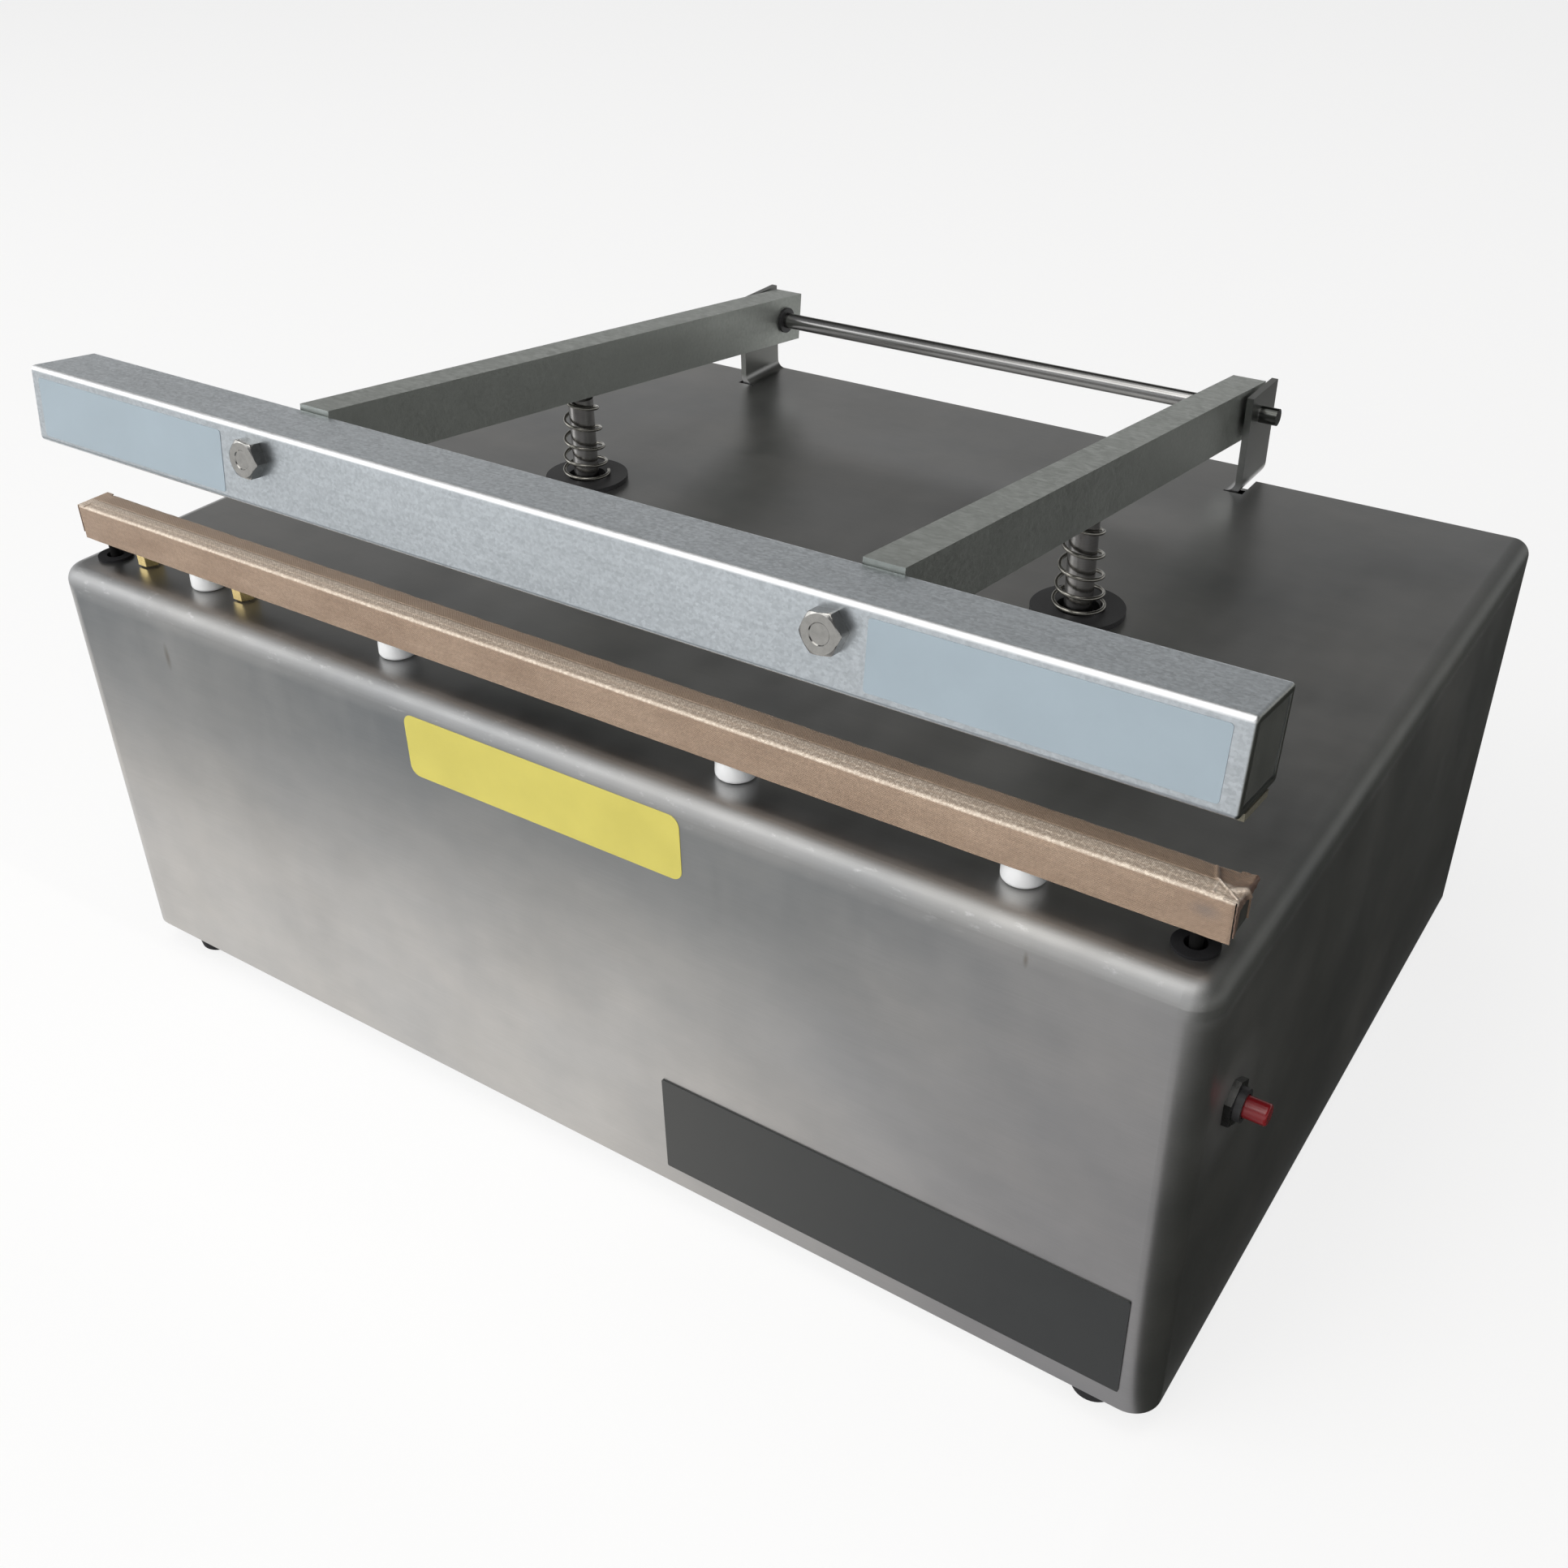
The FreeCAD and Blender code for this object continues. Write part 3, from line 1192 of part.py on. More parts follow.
# Mains inlet and foot-switch jack in the rear panel
inlet_x = "(-sizes.inlet_offset)"
inlet_z = "sizes.socket_height"
inlet_wide = "(sizes.inlet_width - sizes.panel_gap)"
inlet_tall = "(sizes.inlet_height - sizes.panel_gap)"
inlet_out = f"({PANEL_FACE} + sizes.inlet_flange)"
recess_floor = f"({inlet_out} - sizes.inlet_recess)"
shell = box(
    about(inlet_x, inlet_wide),
    (f"{PANEL_FACE} - sizes.inlet_depth", inlet_out),
    about(inlet_z, inlet_tall),
)
rim = box(
    about(inlet_x, f"{inlet_wide} + 2 * sizes.inlet_rim"),
    (PANEL_FACE, inlet_out),
    about(inlet_z, f"{inlet_tall} + 2 * sizes.inlet_rim"),
)
recess = box(
    about(inlet_x, f"{inlet_wide} - 2 * sizes.inlet_wall"),
    (recess_floor, f"{inlet_out} + 1"),
    about(inlet_z, f"{inlet_tall} - 2 * sizes.inlet_wall"),
)
node("power_inlet", CASE, cut(fuse(shell, rim), recess))
blade_spots = [
    (f"{inlet_x} - sizes.blade_spread", f"{inlet_z} - sizes.blade_rise / 2"),
    (f"{inlet_x} + sizes.blade_spread", f"{inlet_z} - sizes.blade_rise / 2"),
    (inlet_x, f"{inlet_z} + sizes.blade_rise"),
]
blades = []
for x, z in blade_spots:
    blades.append(
        box(
            about(x, "sizes.blade_sheet"),
            (recess_floor, f"{recess_floor} + sizes.blade_length"),
            about(z, "sizes.blade_width"),
        )
    )
node("inlet_blades", CASE, *blades)

jack_x = "-sizes.jack_offset"
jack_z = "sizes.socket_height"
jack_block = box(
    about(jack_x, "sizes.jack_body"),
    (f"{PANEL_BACK} - sizes.jack_length", PANEL_BACK),
    about(jack_z, "sizes.jack_body"),
)
jack_reach = "sizes.panel_sheet + sizes.jack_proud"
jack_neck = rod("y", (jack_x, PANEL_BACK, jack_z), "sizes.jack_thread", jack_reach)
way_at = (jack_x, f"{PANEL_BACK} - sizes.jack_length + 2", jack_z)
jack_way = rod("y", way_at, "sizes.jack_bore", f"sizes.jack_length + {jack_reach}")
node("footswitch_jack", CASE, cut(fuse(jack_block, jack_neck), jack_way))
ring = hexagon("y", (jack_x, PANEL_FACE, jack_z), "sizes.jack_nut", "sizes.jack_nut_height")
ring_at = (jack_x, f"{PANEL_FACE} - 1", jack_z)
ring_bore = rod("y", ring_at, "sizes.jack_thread", "sizes.jack_nut_height + 2")
node("jack_nut", CASE, cut(ring, ring_bore))

# Check the document, then write each piece
doc.recompute()
for item in doc.Objects:
    if "Invalid" in item.State or "Error" in item.State:
        raise RuntimeError(f"{item.Label} failed: {item.State}")
os.makedirs("parts", exist_ok=True)
for piece in PARTS:
    shape = piece.Shape
    if shape.isNull() or not shape.isValid():
        raise RuntimeError(f"{piece.Label} has no valid shape")
    shape.exportStep(f"parts/{piece.Label}.step")
print(f"{len(PARTS)} pieces written")
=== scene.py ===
"""Looks of the bench-top bag sealer, in metres and in the frame of the CAD model: finishes for the CAD
pieces, finer meshes of the wrap, spacers, bolts and springs, films on the faces, and a small studio.
"""

import json
import math

import bpy
import numpy as np
from mathutils import Matrix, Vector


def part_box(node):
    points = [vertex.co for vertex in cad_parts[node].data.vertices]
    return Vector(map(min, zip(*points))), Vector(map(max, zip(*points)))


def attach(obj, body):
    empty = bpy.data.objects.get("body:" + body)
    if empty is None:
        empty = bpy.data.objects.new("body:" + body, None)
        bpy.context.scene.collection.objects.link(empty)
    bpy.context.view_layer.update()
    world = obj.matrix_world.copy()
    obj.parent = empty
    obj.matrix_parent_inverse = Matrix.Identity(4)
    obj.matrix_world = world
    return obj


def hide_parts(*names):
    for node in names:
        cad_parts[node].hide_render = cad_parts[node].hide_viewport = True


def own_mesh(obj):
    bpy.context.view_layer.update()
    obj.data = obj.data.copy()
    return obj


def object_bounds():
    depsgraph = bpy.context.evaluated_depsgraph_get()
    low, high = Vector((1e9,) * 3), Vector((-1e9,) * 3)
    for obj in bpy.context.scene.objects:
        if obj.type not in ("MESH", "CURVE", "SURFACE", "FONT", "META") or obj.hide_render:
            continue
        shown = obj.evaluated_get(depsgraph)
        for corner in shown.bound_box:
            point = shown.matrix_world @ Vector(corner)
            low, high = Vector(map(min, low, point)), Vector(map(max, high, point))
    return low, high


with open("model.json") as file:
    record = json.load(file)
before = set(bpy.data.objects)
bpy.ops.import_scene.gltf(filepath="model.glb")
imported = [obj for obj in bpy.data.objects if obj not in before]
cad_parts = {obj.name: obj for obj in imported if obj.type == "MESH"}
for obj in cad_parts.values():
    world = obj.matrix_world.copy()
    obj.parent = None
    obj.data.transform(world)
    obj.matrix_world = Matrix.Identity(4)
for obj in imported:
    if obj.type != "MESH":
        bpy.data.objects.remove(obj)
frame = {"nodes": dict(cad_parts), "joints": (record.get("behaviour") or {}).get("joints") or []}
cad_low, cad_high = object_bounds()

# Case cover and rear panel
# One stainless sheet is folded into the front, sides, top and hinge ears, and a second one closes
# the rear. The satin finish has a fine grain, hand smudges and small rubs along the front bend.


def add(tree, kind, inputs=None, **settings):
    """Adds a shader node; an input that is a socket is linked, any other is set as a value."""
    made = tree.nodes.new("ShaderNode" + kind)
    for name, value in settings.items():
        setattr(made, name, value)
    for name, value in (inputs or {}).items():
        if isinstance(value, bpy.types.NodeSocket):
            tree.links.new(value, made.inputs[name])
        else:
            made.inputs[name].default_value = value
    return made


def finish(name, colour, metallic, roughness):
    """A new material; returns it with its node tree and its Principled shader."""
    made = bpy.data.materials.new(name)
    made.use_nodes = True
    shader = made.node_tree.nodes["Principled BSDF"]
    shader.inputs["Base Color"].default_value = (*colour, 1.0)
    shader.inputs["Metallic"].default_value = metallic
    shader.inputs["Roughness"].default_value = roughness
    return made, made.node_tree, shader


def stretched(tree, scale):
    """Object coordinates multiplied by a scale for each axis."""
    place = add(tree, "TexCoord").outputs["Object"]
    return add(tree, "Mapping", {"Vector": place, "Scale": scale}).outputs["Vector"]


def axes_of(tree):
    """Object coordinates as separate X, Y and Z numbers."""
    place = add(tree, "TexCoord").outputs["Object"]
    return add(tree, "SeparateXYZ", {"Vector": place}).outputs


def clouds(tree, vector, detail=3.0, rough=0.55):
    """A noise between 0 and 1, one unit of the vector to a lump."""
    inputs = {"Vector": vector, "Scale": 1.0, "Detail": detail, "Roughness": rough}
    return add(tree, "TexNoise", inputs).outputs["Fac"]


def ramp(tree, factor, *stops):
    """A colour for each factor, blended between (place, colour) stops."""
    made = add(tree, "ValToRGB", {"Fac": factor})
    elements = made.color_ramp.elements
    while len(elements) < len(stops):
        elements.new(0.5)
    for element, (place, colour) in zip(elements, stops):
        element.position = place
        element.color = (*colour, 1.0)
    return made.outputs["Color"]


def level(tree, factor, low, high, start=0.0, end=1.0):
    """A number from low to high as the factor goes from start to end."""
    inputs = {"Value": factor, "From Min": start, "From Max": end, "To Min": low, "To Max": high}
    return add(tree, "MapRange", inputs).outputs["Result"]


def maths(tree, operation, first, second):
    """The result of one operation on two numbers."""
    return add(tree, "Math", {0: first, 1: second}, operation=operation).outputs["Value"]


def times(tree, first, second):
    """Two numbers multiplied, such as a mask by another or by a share."""
    return maths(tree, "MULTIPLY", first, second)


def tint(tree, kind, factor, below, above):
    """Blends two colours, or lays one over the other, by a factor."""
    made = add(tree, "Mix", {0: factor, 6: below, 7: above}, data_type="RGBA", blend_type=kind)
    return made.outputs[2]


def bumped(tree, shader, height, distance, strength=1.0):
    """Presses a height pattern into the shader's normal."""
    inputs = {"Height": height, "Distance": distance, "Strength": strength}
    tree.links.new(add(tree, "Bump", inputs).outputs["Normal"], shader.inputs["Normal"])


def dress(material, *names):
    """Gives CAD nodes their finish."""
    for name in names:
        frame["nodes"][name].material_slots[0].material = material


def spot(tree, centre, size):
    """A soft spot on Object coordinates, half strength at its centre and nothing at its size's reach."""
    place = add(tree, "TexCoord").outputs["Object"]
    aside = add(tree, "VectorMath", {0: place, 1: centre}, operation="SUBTRACT").outputs[0]
    share = add(tree, "VectorMath", {0: aside, 1: size}, operation="DIVIDE").outputs[0]
    reach = add(tree, "VectorMath", {0: share}, operation="LENGTH").outputs["Value"]
    return level(tree, reach, 0.5, 0.0, 0.2, 1.0)


COVER_LOW, COVER_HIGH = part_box("housing_cover")
CASE_FRONT = COVER_LOW[1]
CASE_RIGHT = COVER_HIGH[0]
TOP_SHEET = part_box("seal_standoffs")[0][2]
EAR_FADE = 0.004
FRONT_BEND_Y = (CASE_FRONT + 0.0043, CASE_FRONT + 0.0088)
FRONT_BEND_Z = (TOP_SHEET - 0.0105, TOP_SHEET - 0.0045)
SIDE_BEND_X = (CASE_RIGHT - 0.0068, CASE_RIGHT - 0.0028)
SIDE_BEND_Z = (TOP_SHEET - 0.0125, TOP_SHEET - 0.0085)
BEND_MATT = 0.22
# Painted shade for the hinge ears and the bend to the right side.
BEND_PAINTED_SHADE = (0.5, 0.51, 0.49, 1.0)
RUB_PALE = (0.72, 0.72, 0.72, 1.0)
RUB_SHARE = 0.4
HAZE_PLACE = tuple((a + b) / 2 for a, b in zip(*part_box("breaker_nut")))
HAZE_SIZE = (0.03, 0.024, 0.022)
HAZE_MATT = 0.5
HAZE_PAINTED_SHADE = (0.25, 0.25, 0.24, 1.0)
STAIN_BROWN = (0.2, 0.165, 0.12, 1.0)
STAINS = (
    ((-0.1667, CASE_FRONT, TOP_SHEET - 0.0207), (0.0016, 0.004, 0.006)),
    ((0.1619, CASE_FRONT, TOP_SHEET - 0.0091), (0.0009, 0.004, 0.003)),
)


def satin_stainless():
    """Stainless with its grain along X on the front and top, and along Y on the sides.

    Smudges and vertical smears change its sheen, and pale rubs follow the bend at the front. The hinge
    ears and the bend to the right side are darkened with painted shade, and a hazy patch round the
    button is rougher and also carries painted shade.
    """
    made, tree, shader = finish("satin_stainless", (0.45, 0.445, 0.435), 1.0, 0.4)
    along_x = clouds(tree, stretched(tree, (22.0, 2600.0, 2600.0)), 2.0)
    along_y = clouds(tree, stretched(tree, (2600.0, 22.0, 2600.0)), 2.0)
    normal = add(tree, "NewGeometry").outputs["Normal"]
    sideways = add(tree, "SeparateXYZ", {"Vector": normal}).outputs["X"]
    on_side = maths(tree, "GREATER_THAN", maths(tree, "ABSOLUTE", sideways, 0.0), 0.7)
    grain = add(tree, "Mix", {0: on_side, 2: along_x, 3: along_y}).outputs[0]
    smudge = clouds(tree, stretched(tree, (9.0, 14.0, 14.0)), 4.0, 0.6)
    smear = clouds(tree, stretched(tree, (55.0, 20.0, 9.0)), 3.0, 0.6)
    hand = clouds(tree, stretched(tree, (24.0, 30.0, 34.0)), 4.0, 0.6)
    nick = level(tree, clouds(tree, stretched(tree, (190.0, 420.0, 420.0)), 4.0, 0.7), 0.0, 1.0, 0.6, 0.7)
    place = axes_of(tree)
    near_front = level(tree, place["Y"], 1.0, 0.0, *FRONT_BEND_Y)
    front_bend = times(tree, level(tree, place["Z"], 0.0, 1.0, *FRONT_BEND_Z), near_front)
    near_side = level(tree, place["X"], 0.0, 1.0, *SIDE_BEND_X)
    side_bend = times(tree, level(tree, place["Z"], 0.0, 1.0, *SIDE_BEND_Z), near_side)
    ear = level(tree, place["Z"], 0.0, 1.0, TOP_SHEET, TOP_SHEET + EAR_FADE)
    haze = spot(tree, HAZE_PLACE, HAZE_SIZE)

    base = ramp(tree, smudge, (0.3, (0.42, 0.425, 0.43)), (0.7, (0.5, 0.492, 0.478)))
    streaked = ramp(tree, grain, (0.25, (0.86, 0.86, 0.86)), (0.75, (1.0, 1.0, 1.0)))
    brushed = tint(tree, "MULTIPLY", 0.4, base, streaked)
    wiped = ramp(tree, hand, (0.3, (0.88, 0.885, 0.89)), (0.65, (1.0, 1.0, 1.0)))
    shade = tint(tree, "MULTIPLY", 1.0, brushed, wiped)
    shade = tint(tree, "MIX", times(tree, times(tree, front_bend, nick), RUB_SHARE), shade, RUB_PALE)
    for centre, size in STAINS:
        shade = tint(tree, "MIX", spot(tree, centre, size), shade, STAIN_BROWN)
    # Painted shade: the hinge ears, the bend to the right side and the patch round the button are darkened.
    for mask, dull in ((ear, BEND_PAINTED_SHADE), (side_bend, BEND_PAINTED_SHADE), (haze, HAZE_PAINTED_SHADE)):
        shade = tint(tree, "MULTIPLY", mask, shade, dull)
    tree.links.new(shade, shader.inputs["Base Color"])

    mottled = maths(tree, "ADD", times(tree, smudge, 0.55), times(tree, smear, 0.45))
    sheen = level(tree, mottled, 0.28, 0.41, 0.32, 0.68)
    bends = maths(tree, "MAXIMUM", front_bend, side_bend)
    matt = maths(tree, "ADD", times(tree, bends, BEND_MATT), times(tree, haze, HAZE_MATT))
    tree.links.new(maths(tree, "ADD", sheen, matt), shader.inputs["Roughness"])
    bumped(tree, shader, grain, 0.00002, 0.35)
    return made


stainless = satin_stainless()
dress(stainless, "housing_cover", "rear_panel")


def plated_steel(name, colour, roughness):
    """Plated or bare metal on small pieces: soft clouds of paler and duller metal."""
    made, tree, shader = finish(name, colour, 1.0, roughness)
    cloud = clouds(tree, stretched(tree, (260.0, 260.0, 260.0)), 4.0)
    pale = tuple(min(1.0, c * 1.15) for c in colour)
    dull = tuple(c * 0.8 for c in colour)
    tree.links.new(ramp(tree, cloud, (0.3, dull), (0.7, pale)), shader.inputs["Base Color"])
    sheen = level(tree, cloud, roughness * 0.8, roughness * 1.25, 0.3, 0.7)
    tree.links.new(sheen, shader.inputs["Roughness"])
    return made


screw_steel = plated_steel("plated_screws", (0.5, 0.5, 0.49), 0.3)
zinc_sheet = plated_steel("zinc_sheet", (0.5, 0.51, 0.52), 0.42)
dress(screw_steel, "panel_screws", "base_screws", "foot_screws", "standoff_screws")
dress(screw_steel, "transformer_screws", "jack_nut", "inlet_blades", "board_posts")
dress(zinc_sheet, "base_plate", "solenoid_frame_left", "solenoid_frame_right")

# Rubber feet and grommets
# Moulded black rubber with a faint bloom; the feet are tapered and the grommets lie flat in the top.


def moulded(name, colour, roughness, lump, depth, bloom=1.6):
    """Moulded rubber or plastic: a fine pebbled skin and a paler bloom in patches."""
    made, tree, shader = finish(name, colour, 0.0, roughness)
    patch = clouds(tree, stretched(tree, (55.0, 55.0, 55.0)), 4.0)
    pale = tuple(min(1.0, c * bloom) for c in colour)
    tree.links.new(ramp(tree, patch, (0.35, colour), (0.75, pale)), shader.inputs["Base Color"])
    sheen = level(tree, patch, roughness * 0.85, roughness * 1.15, 0.3, 0.7)
    tree.links.new(sheen, shader.inputs["Roughness"])
    bumped(tree, shader, clouds(tree, stretched(tree, (lump, lump, lump)), 2.0), depth)
    return made


def adjust(material, name, value):
    """Sets one input of a material's Principled shader."""
    material.node_tree.nodes["Principled BSDF"].inputs[name].default_value = value


black_rubber = moulded("black_rubber", (0.008, 0.008, 0.009), 0.75, 1500.0, 0.00004)
adjust(black_rubber, "Specular IOR Level", 0.25)
dress(black_rubber, "rubber_feet", "lead_grommets")

# White spacers under the seal bar
# Four turned nylon spacers stand on the top of the case. Each has its lower rim rounded where it meets
# the sheet.
spacer_low, spacer_high = (np.array(corner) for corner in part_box("seal_standoffs"))
SPACER_RADIUS = (spacer_high[1] - spacer_low[1]) / 2
SPACER_ROUND = 0.0014
SPACER_BORE = 0.0022
SPACER_DRAFT = 0.0002
SPACER_FAR = (spacer_high[0] - spacer_low[0]) / 2 - SPACER_RADIUS
SPACER_NEAR = 0.066


def loft(name, rings, crease=40.0):
    """A closed skin through rings of points, given as (rings, points, 3), with a flat cap at each end.

    Each ring runs counter-clockwise about the way the rings advance, so that faces point outwards.
    """
    count, around = rings.shape[:2]
    ring, point = np.meshgrid(np.arange(count - 1), np.arange(around), indexing="ij")
    near = ring * around + point
    beside = ring * around + (point + 1) % around
    quads = np.stack([near, beside, beside + around, near + around], axis=-1).reshape(-1, 4)
    first = np.arange(around)[::-1]
    last = np.arange(around) + (count - 1) * around
    mesh = bpy.data.meshes.new(name)
    mesh.from_pydata(rings.reshape(-1, 3).tolist(), [], quads.tolist() + [first.tolist(), last.tolist()])
    mesh.shade_smooth()
    mesh.set_sharp_from_angle(angle=math.radians(crease))
    made = bpy.data.objects.new(name, mesh)
    bpy.context.scene.collection.objects.link(made)
    return made


def wear(piece, material, body):
    """Gives a new piece its finish and its body."""
    piece.data.materials.append(material)
    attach(piece, body)
    return piece


def full_turn(count):
    """Angles round a circle, the last of them one step short of the first."""
    return np.linspace(0, 2 * math.pi, count, endpoint=False)


def spacer_rings(centre_x, centre_y):
    """Rings up the outside from a quarter round at the foot, with the rims of the bore at both ends."""
    angle = full_turn(48)
    quarter = np.linspace(0, math.pi / 2, 7)
    foot = spacer_low[2] + SPACER_ROUND * (1 - np.cos(quarter))
    radius = SPACER_RADIUS - SPACER_ROUND + SPACER_ROUND * np.sin(quarter)
    radius = np.concatenate([[SPACER_BORE], radius, [SPACER_RADIUS - SPACER_DRAFT, SPACER_BORE]])
    height = np.concatenate([[spacer_low[2]], foot, [spacer_high[2], spacer_high[2]]])
    circle = np.stack([np.cos(angle), np.sin(angle)], -1)
    flat = np.array([centre_x, centre_y]) + radius[:, None, None] * circle
    heights = np.broadcast_to(height[:, None, None], (*flat.shape[:2], 1))
    return np.concatenate([flat, heights], -1)


white_nylon = moulded("white_nylon", (0.78, 0.79, 0.8), 0.4, 900.0, 0.00002, 1.06)
adjust(white_nylon, "Subsurface Weight", 0.15)
adjust(white_nylon, "Subsurface Radius", (0.002, 0.002, 0.002))
spacer_x, spacer_y = (spacer_low + spacer_high)[:2] / 2
for number, distance in enumerate((-SPACER_FAR, -SPACER_NEAR, SPACER_NEAR, SPACER_FAR), 1):
    spacer = loft(f"spacer_{number}", spacer_rings(spacer_x + distance, spacer_y))
    wear(spacer, white_nylon, "housing")
    if number == 1:
        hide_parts("seal_standoffs")

# Seal bar
# An aluminium bar carries a glass strip and the heating ribbon. It stands on the spacers, and brass
# screws at its left end take the current.
dress(plated_steel("aluminium_bar", (0.16, 0.162, 0.15), 0.5), "seal_bar")
dress(plated_steel("heating_alloy", (0.4, 0.37, 0.33), 0.35), "heating_element")
dress(plated_steel("brass", (0.8, 0.62, 0.27), 0.24), "terminal_screws")
dress(moulded("glass_strip", (0.7, 0.69, 0.65), 0.6, 2200.0, 0.00005, 1.1), "insulating_strip")
lead_sleeve = moulded("lead_sleeve", (0.006, 0.006, 0.006), 0.85, 2600.0, 0.00008, 1.3)
adjust(lead_sleeve, "Specular IOR Level", 0.1)
dress(lead_sleeve, "element_leads")

# Cloth wrap of the seal bar
# A strip of coated glass cloth is folded over the bar from front to back. Its weave shows along
# the top, over the ribbon, and the spare cloth is creased and tucked down over each end.
SEAL_LOW, SEAL_HIGH = (np.array(corner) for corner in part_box("seal_cover"))
WRAP_SHEET = 0.0004
WRAP_CORNER = 0.0011
TOP_POINTS = 61
FINE_RUN = 0.016
OVERLAP_SHEET = 0.00015
OVERLAP_SHORT = 0.0085
OVERLAP_SLANT = 0.004
OVERLAP_CURL = 0.00035
CURL_WIDTH = 0.0005
RIBBON_BUMP = 0.00016
RIBBON_MIDDLE = 0.7
RIBBON_HALF = 0.14
WEAVE_PITCH = 0.00062
WAVE = 0.00005
CREST_START = 0.0066
CREST_END = 0.001
CREST_HEIGHT = 0.0004
CREST_WIDTH = 0.035
CREASE_HEIGHT = 0.00025
CREASE_WIDTH = 0.0003
RUMPLE = 0.0001
RUMPLE_REACH = 0.009
TUCK_REACH = 0.0032
TUCK_BEND = 0.0006
TUCK_STRIP = 0.86
TUCK_SHEET = 0.0003
TUCK_GAP = 0.00005
TUCK_INSET = 0.0002
TUCK_FOLD = 0.0006
TUCK_RIPPLE = 0.00012
PLEAT_SLANT = 60
PLEAT_MIDDLE = 0.55
PLEAT_WIDTH = 0.07
HOLLOW_MIDDLE = 0.38
HOLLOW_WIDTH = 0.1
RIGHT_DROP = 0.0028
LEFT_DROP = 0.0098
SMUDGE_PLACE = (SEAL_HIGH[0] - 0.0068, SEAL_LOW[1], SEAL_HIGH[2] - 0.0052)
SMUDGE_SIZE = (0.0048, 0.008, 0.0028)


def shaded(piece, shade):
    """Keeps a number of painted shade or painted highlight for every point of the mesh, for the material to
    read.
    """
    kept = piece.data.attributes.new("shade", "FLOAT", "POINT")
    kept.data.foreach_set("value", np.ascontiguousarray(shade, dtype=np.float32).ravel())
    return piece


def step(distance, width):
    """Rises smoothly from 0 to 1 as a signed distance passes zero."""
    return 1 / (1 + np.exp(-np.clip(distance / width, -30, 30)))


def bell(distance, width):
    """Is 1 where a distance is zero and falls away over the width on both sides."""
    return np.exp(-((distance / width) ** 2))


def wrap_profile():
    """The wrap's section in Y and Z, counter-clockwise seen from +X: up the back, over the top and down
    the front, then the same path one sheet thickness inside. Also the share of the top, from 0 at the
    back to 1 at the front, for every point of the section, and -1 for points that aren't on the top."""
    quarter = np.linspace(0.0, math.pi / 2, 7)

    def path(inset):
        radius = WRAP_CORNER - inset
        back = SEAL_HIGH[1] - inset
        front = SEAL_LOW[1] + inset
        top = SEAL_HIGH[2] - inset - OVERLAP_SHEET
        centre_z = top - radius
        rise = np.stack([back - radius + radius * np.cos(quarter), centre_z + radius * np.sin(quarter)], 1)
        fall = np.stack([front + radius - radius * np.sin(quarter), centre_z + radius * np.cos(quarter)], 1)
        over = np.linspace(rise[-1], fall[0], TOP_POINTS)[1:-1]
        up = np.linspace([back, SEAL_LOW[2]], rise[0], 6)[:-1]
        down = np.linspace(fall[-1], [front, SEAL_LOW[2]], 6)[1:]
        return [up, rise, over, fall, down]

    outer = path(0.0)
    share = [np.full(len(run), -1.0) for run in outer]
    share[2] = np.linspace(0.0, 1.0, TOP_POINTS)[1:-1]
    share = np.concatenate(share)
    section = np.concatenate([np.concatenate(outer), np.concatenate(path(WRAP_SHEET))[::-1]])
    return section, np.concatenate([share, np.full(len(share), -1.0)])


